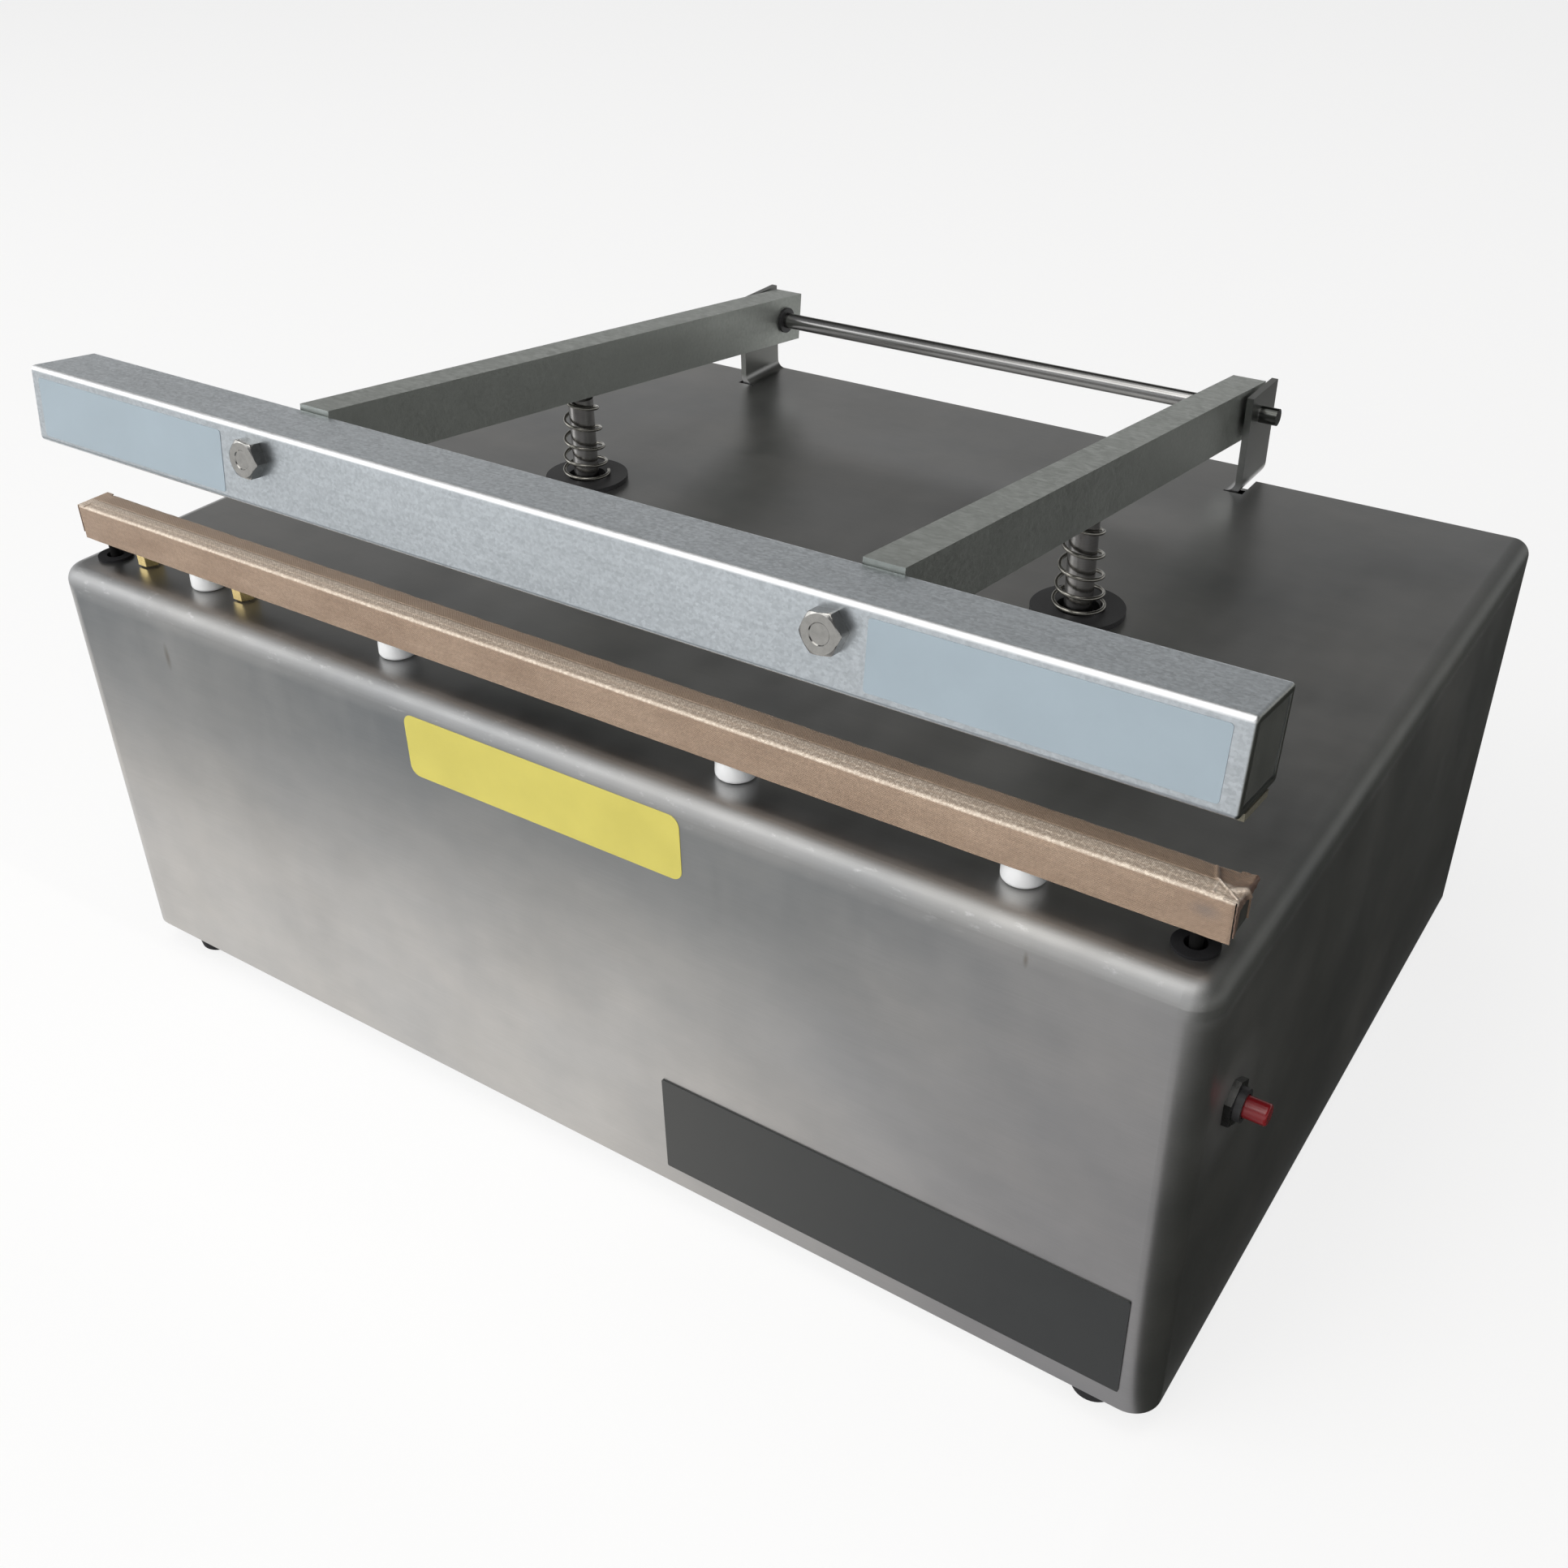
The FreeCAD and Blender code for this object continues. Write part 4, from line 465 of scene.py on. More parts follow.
def seal_wrap():
    """The section carried along X, closer together near the right end. The top rises by an overlap along
    its rear half, which stops short of the right end with a lifted edge, and by a ridge over the ribbon.
    Slanting creases, as bells across a line, and shallow waves are added to that. Its shade numbers
    are painted light: painted shade, above zero, in the folds, behind the lifted edge and at the very
    end, and painted highlight, below zero, on the crests and creases."""
    section, share = wrap_profile()
    long_run = np.linspace(SEAL_LOW[0], SEAL_HIGH[0] - FINE_RUN, 200)[:-1]
    x = np.concatenate([long_run, np.linspace(SEAL_HIGH[0] - FINE_RUN, SEAL_HIGH[0], 90)])[:, None]
    rings = np.empty((len(x), len(section), 3))
    rings[:, :, 0] = x
    rings[:, :, 1:] = section
    left = SEAL_HIGH[0] - x
    top = share > 0
    stop = OVERLAP_SHORT - OVERLAP_SLANT * share
    behind = step(0.5 - share, 0.01) * top
    lift = behind * step(left - stop, 0.00012) * OVERLAP_SHEET
    lift = lift + behind * OVERLAP_CURL * bell(left - stop - CURL_WIDTH, CURL_WIDTH)
    lift += RIBBON_BUMP * step(RIBBON_HALF - np.abs(share - RIBBON_MIDDLE), 0.012)
    near_end = step(CREST_START - left, 0.0002)
    slant = share - 0.5 - 0.42 * (CREST_START - left) / (CREST_START - CREST_END)
    crest = bell(slant, CREST_WIDTH) * near_end
    across = bell(left - CREST_START + 0.0006 * share, CREASE_WIDTH) * step(share - 0.5, 0.02)
    lift += CREST_HEIGHT * crest + CREASE_HEIGHT * across
    crumpled = np.sin(share * 21.0 + left * 1500.0) * np.sin(left * 900.0 - share * 8.0)
    lift += RUMPLE * crumpled * step(RUMPLE_REACH - left, 0.0008)
    rings[:, :, 2] += np.where(top, lift, 0.0)
    away = section - (SEAL_LOW + SEAL_HIGH)[1:] / 2
    wave = WAVE * np.abs(np.sin(x * 310.0) + np.sin(x * 147.0 + 1.3) + 0.6 * np.sin(x * 690.0))
    rings[:, :, 1] -= wave * np.sign(away[:, 0])
    rings[:, :, 2] -= wave * (away[:, 1] > 0.004)
    # Painted shadow behind the lifted edge, painted shade on the fold's facet and at the end, and a painted
    # highlight on the crest and the crease.
    painted_pocket_shadow = 0.9 * behind * step(stop - left, 0.0001) * np.exp(-np.clip(stop - left, 0, None) / 0.003)
    painted_facet_shade = 0.4 * step(-slant, 0.04) * step(CREST_START - left, 0.0006)
    shade = np.where(top, np.maximum(painted_pocket_shadow, painted_facet_shade) - 0.9 * crest - 0.7 * across, 0.0)
    shade += 0.35 * step(0.0007 - left, 0.0001) * (share < 0)
    return shaded(loft("seal_wrap", rings), shade)


def end_tuck(name, end_x, outward, drops, crumple):
    """The spare cloth at one end, as a thin sheet: along the top, round a small bend and down the end.

    One parameter runs across the bar, from the back, and one out along the cloth. The sheet hangs by
    the first of two drops, and by the second along the front edge. Folds are bells added along the
    sheet's normal: a pleat, and an ear that stands out at the rear corner. Its shade numbers are painted
    light: painted shade in the hollow, at the ear's tip, down the end and on the inner side, and a
    painted highlight along the pleat.
    """
    across = np.linspace(0.0, 1.0, 49)[None, :]
    bend = TUCK_BEND * math.pi / 2
    drop = drops[0] + (drops[1] - drops[0]) * step(across - TUCK_STRIP, 0.008)
    out = np.linspace(0.0, 1.0, 48)[:, None] * (TUCK_REACH + bend + drop)
    turn = np.clip(out - TUCK_REACH, 0, bend) / TUCK_BEND
    fall = np.clip(out - TUCK_REACH - bend, 0, None)
    slant = across + PLEAT_SLANT * (out - TUCK_REACH)
    pleat = bell(slant - PLEAT_MIDDLE, PLEAT_WIDTH)
    hollow = bell(slant - HOLLOW_MIDDLE, HOLLOW_WIDTH)
    ear = np.clip(1 - across / 0.3, 0, 1) * bell(out - TUCK_REACH - 0.0012, 0.0014)
    ripple = TUCK_RIPPLE * np.sin(across * 23.0 + out * 900.0) * np.sin(out * 1500.0 + across * 9.0)
    lift = TUCK_GAP + crumple * (TUCK_FOLD * pleat + TUCK_FOLD * ear + ripple)
    middle_y = (SEAL_LOW[1] + SEAL_HIGH[1]) / 2
    y = np.broadcast_to(middle_y + (0.5 - across) * (SEAL_HIGH[1] - SEAL_LOW[1] - TUCK_INSET), out.shape)
    flat = np.clip(out, 0, TUCK_REACH) - TUCK_REACH

    def skin(height):
        x = end_x + outward * (flat + (TUCK_BEND + height) * np.sin(turn))
        z = SEAL_HIGH[2] - OVERLAP_SHEET - TUCK_BEND - fall + (TUCK_BEND + height) * np.cos(turn)
        return np.stack([x, y, z], -1)

    rings = np.concatenate([skin(lift), skin(lift - TUCK_SHEET)[:, ::-1]], axis=1)
    # Painted shade in the hollow, at the ear's tip, down the end and on the inner side; painted highlight
    # along the pleat.
    tip = step(0.16 - across, 0.02) * step(out - TUCK_REACH - 0.3 * bend, 0.0001)
    painted_shade = 0.25 + 0.45 * hollow + 0.9 * tip + 0.6 * step(turn - 0.7, 0.1)
    shade = crumple * (painted_shade - 0.9 * pleat * (1 - tip))
    rim = 0.9 * np.ones_like(shade)
    shade = np.concatenate([shade, rim[:, ::-1]], axis=1)
    if outward < 0:
        rings, shade = rings[:, ::-1], shade[:, ::-1]
    return shaded(loft(name, rings, 55.0), shade)


def coated_cloth():
    """Tan coated glass cloth: a plain weave on Object coordinates, threads of uneven shade and darker
    heat marks. The top carries painted light, lighter toward the left. Where the ribbon's heat has
    pressed it the threads get painted glints, and the front fold a painted highlight line. The shade
    numbers on the mesh give painted shade and painted highlight."""
    made, tree, shader = finish("coated_cloth", (0.3, 0.215, 0.155), 0.0, 0.42)
    threads = 2 * math.pi / WEAVE_PITCH
    axes = axes_of(tree)
    across = maths(tree, "SINE", times(tree, axes["X"], threads), 0.0)
    over = maths(tree, "ADD", axes["Y"], axes["Z"])
    along = maths(tree, "SINE", times(tree, over, threads), 0.0)
    weave = level(tree, times(tree, across, along), 0.0, 1.0, -1.0, 1.0)
    mark = clouds(tree, stretched(tree, (45.0, 120.0, 120.0)), 5.0, 0.6)
    uneven = clouds(tree, stretched(tree, (60.0, 1250.0, 1250.0)), 3.0, 0.7)
    base = ramp(tree, mark, (0.25, (0.272, 0.188, 0.131)), (0.7, (0.357, 0.257, 0.185)))
    stripe = ramp(tree, uneven, (0.3, (0.75, 0.75, 0.75)), (0.7, (1.15, 1.15, 1.15)))
    striped = tint(tree, "MULTIPLY", 0.4, base, stripe)
    thread = ramp(tree, weave, (0.1, (0.72, 0.72, 0.72)), (0.9, (1.18, 1.18, 1.18)))
    woven = tint(tree, "MULTIPLY", 0.75, striped, thread)
    grit = clouds(tree, stretched(tree, (1050.0, 1050.0, 1050.0)), 2.0, 0.7)
    fleck = level(tree, grit, 0.0, 1.0, 0.48, 0.62)
    speck = ramp(tree, grit, (0.35, (0.86, 0.86, 0.86)), (0.65, (1.12, 1.12, 1.12)))
    specked = tint(tree, "MULTIPLY", 0.8, woven, speck)
    painted_light_attribute = add(tree, "Attribute", attribute_name="shade").outputs["Fac"]
    painted_shade = level(tree, painted_light_attribute, 0.0, 1.0)
    painted_highlight = level(tree, painted_light_attribute, 1.0, 0.0, -1.0, 0.0)
    width = SEAL_HIGH[1] - SEAL_LOW[1]
    front_half = level(tree, axes["Y"], 1.0, 0.0, SEAL_LOW[1] + 0.42 * width, SEAL_LOW[1] + 0.52 * width)
    on_top = level(tree, axes["Z"], 0.0, 1.0, SEAL_HIGH[2] - 0.0013, SEAL_HIGH[2] - 0.0006)
    pressed = times(tree, front_half, on_top)
    painted_glint = times(tree, pressed, level(tree, fleck, 0.4, 0.95))
    painted_light_on_top = times(tree, on_top, level(tree, axes["X"], 0.5, 0.0, SEAL_LOW[0], SEAL_HIGH[0]))
    fold_y = level(tree, axes["Y"], 1.0, 0.0, SEAL_LOW[1] + 0.0004, SEAL_LOW[1] + 0.0009)
    fold_z = level(tree, axes["Z"], 0.0, 1.0, SEAL_HIGH[2] - 0.0011, SEAL_HIGH[2] - 0.0006)
    fold = times(tree, times(tree, fold_y, fold_z), level(tree, fleck, 0.45, 0.95))
    smudge = spot(tree, SMUDGE_PLACE, SMUDGE_SIZE)
    crest = times(tree, painted_highlight, level(tree, fleck, 0.45, 1.0))
    shade = specked
    # Painted light on the cloth: a lighter top toward the left, pale glints, a pale line along the front
    # fold, dark painted shade and pale painted highlight from the mesh's numbers; the grey smudge is a
    # stain.
    for mask, colour in (
        (painted_light_on_top, (0.56, 0.42, 0.32)),
        (painted_glint, (0.76, 0.65, 0.54)),
        (fold, (0.8, 0.7, 0.58)),
        (smudge, (0.15, 0.132, 0.125)),
        (times(tree, painted_shade, 0.8), (0.075, 0.036, 0.027)),
        (crest, (0.78, 0.69, 0.6)),
    ):
        shade = tint(tree, "MIX", mask, shade, (*colour, 1.0))
    tree.links.new(shade, shader.inputs["Base Color"])
    tree.links.new(level(tree, pressed, 0.46, 0.3), shader.inputs["Roughness"])
    bumped(tree, shader, weave, 0.00008, 0.8)
    return made


cloth = coated_cloth()
wrap = wear(seal_wrap(), cloth, "housing")
tuck_right = end_tuck("wrap_tuck_right", SEAL_HIGH[0], 1, (RIGHT_DROP, LEFT_DROP), 1.0)
tuck_left = end_tuck("wrap_tuck_left", SEAL_LOW[0], -1, (LEFT_DROP, LEFT_DROP), 0.08)
wear(tuck_right, cloth, "housing")
wear(tuck_left, cloth, "housing")
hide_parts("seal_cover")

# Jaw arms, press bar and pad
# Two zinc-plated flat bars carry a galvanised square tube. The tube's plating has a fine bright
# spangle and long marks from the rolls that shaped it.
OPEN_ANGLE = math.radians(7.2)
PIVOT = np.array(next(j for j in frame["joints"] if j["name"] == "jaw_hinge")["pos_m"])
BAR_LOW, BAR_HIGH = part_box("front_bar")
BAR_FRONT = -0.2832
BAR_ROUND = 0.0015
CUT_FADE = (0.0002, 0.0007)
# Painted shade for the tube's cut ends and a painted highlight for the edge along the top of its front.
CUT_PAINTED_SHADE = (0.24, 0.25, 0.23, 1.0)
EDGE_PAINTED_HIGHLIGHT = (0.95, 0.96, 0.97, 1.0)
EDGE_MATT = 0.2


def on_jaw(along, reach, rise):
    """Points given along X, out from the pivot and up from it, with the jaw held open."""
    cos, sin = math.cos(OPEN_ANGLE), math.sin(OPEN_ANGLE)
    return np.stack([along, PIVOT[1] + reach * cos + rise * sin, PIVOT[2] - reach * sin + rise * cos], -1)


def bar_edge():
    """The sharp corner that the round along the top of the bar's front was cut from."""
    cos, sin = math.cos(OPEN_ANGLE), math.sin(OPEN_ANGLE)
    high = BAR_HIGH[2] - PIVOT[2] + BAR_FRONT * sin + BAR_ROUND * (sin + cos - 1)
    return on_jaw(0.0, BAR_FRONT, high / cos)


def galvanised(name, colour, roughness, flake, contrast, rim=0.0):
    """Zinc with a fine spangle, some crystals lighter or duller, and roll marks along X. The cut ends of
    the tube carry painted shade, and the edge along the top of its front a painted highlight, in the share
    rim."""
    made, tree, shader = finish(name, colour, 1.0, roughness)
    crystal = add(tree, "TexVoronoi", {"Vector": stretched(tree, flake), "Scale": 1.0})
    spangle = add(tree, "SeparateColor", {"Color": crystal.outputs["Color"]}).outputs["Red"]
    frost = clouds(tree, stretched(tree, tuple(f * 0.6 for f in flake)), 4.0, 0.7)
    drawn = clouds(tree, stretched(tree, (9.0, 700.0, 700.0)), 3.0, 0.6)
    patch = clouds(tree, stretched(tree, (18.0, 40.0, 40.0)), 4.0)
    mixed = maths(tree, "ADD", times(tree, spangle, 0.35), times(tree, frost, 0.65))
    dull = tuple(c * (1 - contrast) for c in colour)
    pale = tuple(min(1.0, c * (1 + contrast)) for c in colour)
    base = ramp(tree, mixed, (0.25, dull), (0.75, pale))
    streak = ramp(tree, drawn, (0.3, (0.88, 0.88, 0.88)), (0.65, (1.0, 1.0, 1.0)))
    worn = tint(tree, "MULTIPLY", 0.7, base, streak)
    cloud = ramp(tree, patch, (0.3, (0.9, 0.9, 0.9)), (0.7, (1.0, 1.0, 1.0)))
    along = axes_of(tree)["X"]
    cut_right = level(tree, along, 0.0, 1.0, BAR_HIGH[0] - CUT_FADE[1], BAR_HIGH[0] - CUT_FADE[0])
    cut_left = level(tree, along, 1.0, 0.0, BAR_LOW[0] + CUT_FADE[0], BAR_LOW[0] + CUT_FADE[1])
    cut = maths(tree, "MAXIMUM", cut_left, cut_right)
    place = add(tree, "TexCoord").outputs["Object"]
    aside = add(tree, "VectorMath", {0: place, 1: bar_edge()}, operation="SUBTRACT").outputs[0]
    flat = add(tree, "VectorMath", {0: aside, 1: (0.0, 1.0, 1.0)}, operation="MULTIPLY").outputs[0]
    reach = add(tree, "VectorMath", {0: flat}, operation="LENGTH").outputs["Value"]
    edge = level(tree, reach, rim, 0.0, BAR_ROUND * 0.75, BAR_ROUND * 1.15)
    shade = tint(tree, "MULTIPLY", 1.0, worn, cloud)
    # Painted highlight along the top of the front, and painted shade on the cut ends.
    shade = tint(tree, "MIX", edge, shade, EDGE_PAINTED_HIGHLIGHT)
    shade = tint(tree, "MIX", cut, shade, CUT_PAINTED_SHADE)
    tree.links.new(shade, shader.inputs["Base Color"])
    sheen = level(tree, mixed, roughness * 1.2, roughness * 0.85, 0.25, 0.75)
    matt = maths(tree, "ADD", sheen, times(tree, edge, EDGE_MATT))
    tree.links.new(matt, shader.inputs["Roughness"])
    bumped(tree, shader, mixed, 0.00002, 0.16)
    return made


tube_zinc = galvanised("galvanised_tube", (0.525, 0.562, 0.59), 0.33, (1100.0, 1300.0, 1300.0), 0.11, 1.0)
bar_zinc = galvanised("zinc_flat_bar", (0.43, 0.452, 0.422), 0.42, (500.0, 900.0, 900.0), 0.05)
dress(tube_zinc, "front_bar")
dress(bar_zinc, "arm_left", "arm_right", "link_pins")
end_plug = moulded("end_plug", (0.062, 0.065, 0.058), 0.5, 1300.0, 0.00003)
dress(end_plug, "bar_end_plug_left", "bar_end_plug_right")
dress(moulded("silicone_pad", (0.13, 0.12, 0.085), 0.6, 1000.0, 0.00003, 1.2), "press_pad")

# Pivot rod, bushes and plungers
# The arms swing on a drawn rod through both ears, beside black flanged bushes. The plungers are turned
# steel and come up through the top of the case to the arms.
OUTSIDE_SHADE_FADE = 0.0005
OUTSIDE_PAINTED_SHADE = (0.22, 0.23, 0.22, 1.0)
ROD_OVERHANG = 0.0066


def bright_steel(name, colour, roughness, grain, plain_half=1.0):
    """Turned or drawn steel: fine lines along the axes where the grain's scale is small. What lies
    further out along X than plain_half carries painted shade."""
    made, tree, shader = finish(name, colour, 1.0, roughness)
    line = clouds(tree, stretched(tree, grain), 3.0)
    dull = tuple(c * 0.85 for c in colour)
    along = maths(tree, "ABSOLUTE", axes_of(tree)["X"], 0.0)
    outside = level(tree, along, 0.0, 1.0, plain_half, plain_half + OUTSIDE_SHADE_FADE)
    lines = ramp(tree, line, (0.3, dull), (0.65, colour))
    shade = tint(tree, "MULTIPLY", outside, lines, OUTSIDE_PAINTED_SHADE)
    tree.links.new(shade, shader.inputs["Base Color"])
    sheen = level(tree, line, roughness * 1.12, roughness * 0.9, 0.3, 0.7)
    tree.links.new(sheen, shader.inputs["Roughness"])
    return made


# The rod's ends beyond the ears carry painted shade.
ear_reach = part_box("pivot_rod")[1][0] - ROD_OVERHANG
dress(bright_steel("drawn_rod", (0.33, 0.327, 0.32), 0.2, (30.0, 900.0, 900.0), ear_reach), "pivot_rod")
turned_steel = bright_steel("turned_steel", (0.44, 0.43, 0.42), 0.22, (20.0, 20.0, 2600.0))
dress(turned_steel, "plunger_left", "plunger_right")
black_plastic = moulded("black_plastic", (0.02, 0.02, 0.021), 0.45, 1400.0, 0.00002)
dress(black_plastic, "pivot_bushes", "spring_washers", "breaker_body", "power_inlet", "footswitch_jack")

# Hex bolts of the press bar
# Each bolt goes through the tube into the end of its arm. Its head has a turned chamfer, a flat rim
# and a shallow dish in the middle.
BOLT_FLATS = 0.0111
BOLT_HEAD = 0.0043
BOLT_SHANK = 0.00635
BOLT_REACH = 0.0414
BOLT_DROP = 0.001
BOLT_TIP = 0.0008
CHAMFER_RIM = 0.475 * BOLT_FLATS
CHAMFER_DEPTH = 0.0009
CHAMFER_SLOPE = math.radians(30)
DISH_RIM = 0.0031
DISH_DEPTH = 0.00028
DISH_MIDDLE = 0.0004


def bolt_rings(centre_x, turn):
    """Rings round the bolt from its tip to the dish: the least of a hexagon and the chamfer's cone."""
    angle = full_turn(72)
    sector = (angle - turn + math.pi / 6) % (math.pi / 3) - math.pi / 6
    hexagon = BOLT_FLATS / 2 / np.cos(sector)
    slope = np.linspace(CHAMFER_DEPTH, 0.0, 10)
    cone = CHAMFER_RIM + slope / math.tan(CHAMFER_SLOPE)
    round_ring = np.ones_like(angle)
    radii = [
        BOLT_SHANK / 2 * 0.9 * round_ring,
        BOLT_SHANK / 2 * round_ring,
        BOLT_SHANK / 2 * round_ring,
        hexagon,
        *[np.minimum(hexagon, c) for c in cone],
        DISH_RIM * round_ring,
        (DISH_RIM - DISH_DEPTH) * round_ring,
        DISH_MIDDLE * round_ring,
    ]
    out = [-BOLT_REACH, BOLT_TIP - BOLT_REACH, 0.0, 0.0, *(BOLT_HEAD - slope)]
    out += [BOLT_HEAD, BOLT_HEAD - DISH_DEPTH, BOLT_HEAD - DISH_DEPTH * 1.1]
    radii = np.array(radii)
    out = np.array(out)[:, None] + np.zeros_like(radii)
    return on_jaw(centre_x + radii * np.cos(angle), BAR_FRONT - out, -BOLT_DROP + radii * np.sin(angle))


bolt_steel = bright_steel("bolt_steel", (0.33, 0.325, 0.31), 0.18, (500.0, 500.0, 500.0))
for side, turn in (("left", math.radians(24)), ("right", math.radians(37))):
    arm_low, arm_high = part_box(f"arm_{side}")
    bolt = loft(f"arm_bolt_{side}", bolt_rings((arm_low[0] + arm_high[0]) / 2, turn), 25.0)
    wear(bolt, bolt_steel, "jaw")
    if side == "left":
        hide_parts("arm_bolts")

# Return springs on their washers
# Each is one steel wire wound on a cone, wide at the foot, where its turns lie closer together. It
# stands on a black washer and shortens as the solenoid pulls the arm down.
SPRING_WIRE = 0.0013
SPRING_FOOT = 0.0185
SPRING_HEAD = 0.013
SPRING_TURNS = 4.5
SPRING_POINTS = 56
SPRING_GRADE = 1.3
SPRING_START = 0.14


def spring_rings(foot_x, foot_y, foot_z, height):
    """A tube round a left-handed spiral on a cone; its height is a power of the share of the wire."""
    turn = np.linspace(0, SPRING_TURNS, int(SPRING_TURNS * SPRING_POINTS) + 1)
    share = turn / SPRING_TURNS
    rise = SPRING_WIRE / 2 + (height - SPRING_WIRE) * share**SPRING_GRADE
    radius = ((1 - share) * SPRING_FOOT + share * SPRING_HEAD - SPRING_WIRE) / 2
    angle = 2 * math.pi * (SPRING_START - turn)
    line = np.stack([foot_x + radius * np.cos(angle), foot_y + radius * np.sin(angle), foot_z + rise], 1)
    run = np.gradient(line, axis=0)
    run /= np.linalg.norm(run, axis=1, keepdims=True)
    outward = np.stack([np.cos(angle), np.sin(angle), np.zeros_like(angle)], 1)
    outward -= run * (outward * run).sum(1, keepdims=True)
    outward /= np.linalg.norm(outward, axis=1, keepdims=True)
    upward = np.cross(run, outward)
    around = full_turn(12)
    across = np.cos(around)[None, :, None] * outward[:, None]
    over = np.sin(around)[None, :, None] * upward[:, None]
    return line[:, None] + SPRING_WIRE / 2 * (across + over)


spring_steel = bright_steel("spring_steel", (0.31, 0.30, 0.27), 0.25, (600.0, 600.0, 600.0))
for side in ("left", "right"):
    low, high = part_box(f"spring_{side}")
    plunger_low, plunger_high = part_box(f"plunger_{side}")
    axis_x = (plunger_low[0] + plunger_high[0]) / 2
    axis_y = (plunger_low[1] + plunger_high[1]) / 2
    spring = loft(f"return_spring_{side}", spring_rings(axis_x, axis_y, low[2], high[2] - low[2]), 60.0)
    wear(spring, spring_steel, "housing")
    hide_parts(f"spring_{side}")
    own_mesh(spring)

# Breaker button in the right side
# A red cap slides in a threaded neck, which a plated nut holds in the sheet.
dress(plated_steel("dark_nut", (0.08, 0.08, 0.078), 0.3), "breaker_nut")
red_plastic = moulded("red_plastic", (0.17, 0.006, 0.009), 0.22, 800.0, 0.00001, 1.15)
dress(red_plastic, "button_cap")

# Films and plate on the faces
# A dark plate and a yellow film lie on the front of the case, and two pale films on the press bar.
# All four are plain.
FILM = 0.00015
FILM_BEVEL = 0.00005
FRONT_FILM = (0.106, 0.0222, 0.0036)
FRONT_FILM_PLACE = (0.0015, 0.1512)
BAR_FILM_HEIGHT = 0.0197
BAR_FILM_CORNER = 0.001
dress(moulded("plate_grey", (0.018, 0.02, 0.02), 0.4, 3000.0, 0.00001, 1.25), "front_plate")


def film_rings(width, height, corner):
    """Rings of a thin film with round corners: base, shoulder and a face set in by a bevel.

    Each outline is the four corner centres plus radius times (cos, sin) over a quarter turn each.
    """
    quarter = np.linspace(0, math.pi / 2, 8)[None, :] + np.arange(4)[:, None] * math.pi / 2
    east = np.array([1, -1, -1, 1])[:, None]
    north = np.array([1, 1, -1, -1])[:, None]
    rings = []
    for shrink, lift in ((0.0, 0.0), (0.0, FILM - FILM_BEVEL), (FILM_BEVEL, FILM)):
        across = east * (width / 2 - corner) + (corner - shrink) * np.cos(quarter)
        up = north * (height / 2 - corner) + (corner - shrink) * np.sin(quarter)
        rings.append(np.stack([across.ravel(), up.ravel(), np.full(across.size, lift)], 1))
    return np.array(rings)


def on_case(rings, centre_x, centre_z):
    """Stands a film's rings on the front of the case."""
    return np.stack([centre_x + rings[..., 0], CASE_FRONT - rings[..., 2], centre_z + rings[..., 1]], -1)


front_film = loft("front_film", on_case(film_rings(*FRONT_FILM), *FRONT_FILM_PLACE))
film_yellow = moulded("film_yellow", (0.51, 0.45, 0.088), 0.42, 1500.0, 0.00001, 1.1)
wear(front_film, film_yellow, "housing")
film_pale = moulded("film_pale", (0.275, 0.335, 0.38), 0.42, 1500.0, 0.00001, 1.06)
for name, centre_x, centre_rise, width in (
    ("bar_film_left", -0.1683, -0.0053, 0.09),
    ("bar_film_right", 0.156, -0.0047, 0.092),
):
    across, up, out = np.moveaxis(film_rings(width, BAR_FILM_HEIGHT, BAR_FILM_CORNER), -1, 0)
    film = loft(name, on_jaw(centre_x + across, BAR_FRONT - out, centre_rise + up))
    wear(film, film_pale, "jaw")

# Works inside the case
# Wound coils in yellow tape, a varnished core, and a green board with blue relays.
winding_tape = moulded("winding_tape", (0.5, 0.33, 0.05), 0.45, 1200.0, 0.00003, 1.25)
dress(winding_tape, "solenoid_coil_left", "solenoid_coil_right", "transformer_winding")
dress(plated_steel("core_plates", (0.12, 0.12, 0.125), 0.45), "transformer_core")
dress(moulded("board_laminate", (0.015, 0.12, 0.045), 0.35, 1500.0, 0.00001), "timer_board")
dress(moulded("relay_case", (0.02, 0.07, 0.25), 0.3, 900.0, 0.00001), "timer_relays", "terminal_block")

# Studio
# A white floor under soft lamps: one in front overhead, a strip and a side lamp on the left, a fill that
# metal doesn't show and one straight above. Cards shade the metal, and the room is pale at the horizon.
FLOOR_HALF = 40.0
FLOOR_WHITE = 0.78
CARD_HEIGHT = 0.001
CARD_GAP = 0.0015
SIDE_START = cad_high[0] - 0.009
WARM = (1.0, 0.98, 0.95)
GLOW_TOWARD = (-0.42, -0.83, 0.36)


def level_sheet(name, low, high, height, paint):
    """A level rectangle between two corners, at a height."""
    mesh = bpy.data.meshes.new(name)
    corners = [(low[0], low[1]), (high[0], low[1]), (high[0], high[1]), (low[0], high[1])]
    mesh.from_pydata([(*corner, height) for corner in corners], [], [(0, 1, 2, 3)])
    mesh.materials.append(paint)
    made = bpy.data.objects.new(name, mesh)
    bpy.context.scene.collection.objects.link(made)
    return made


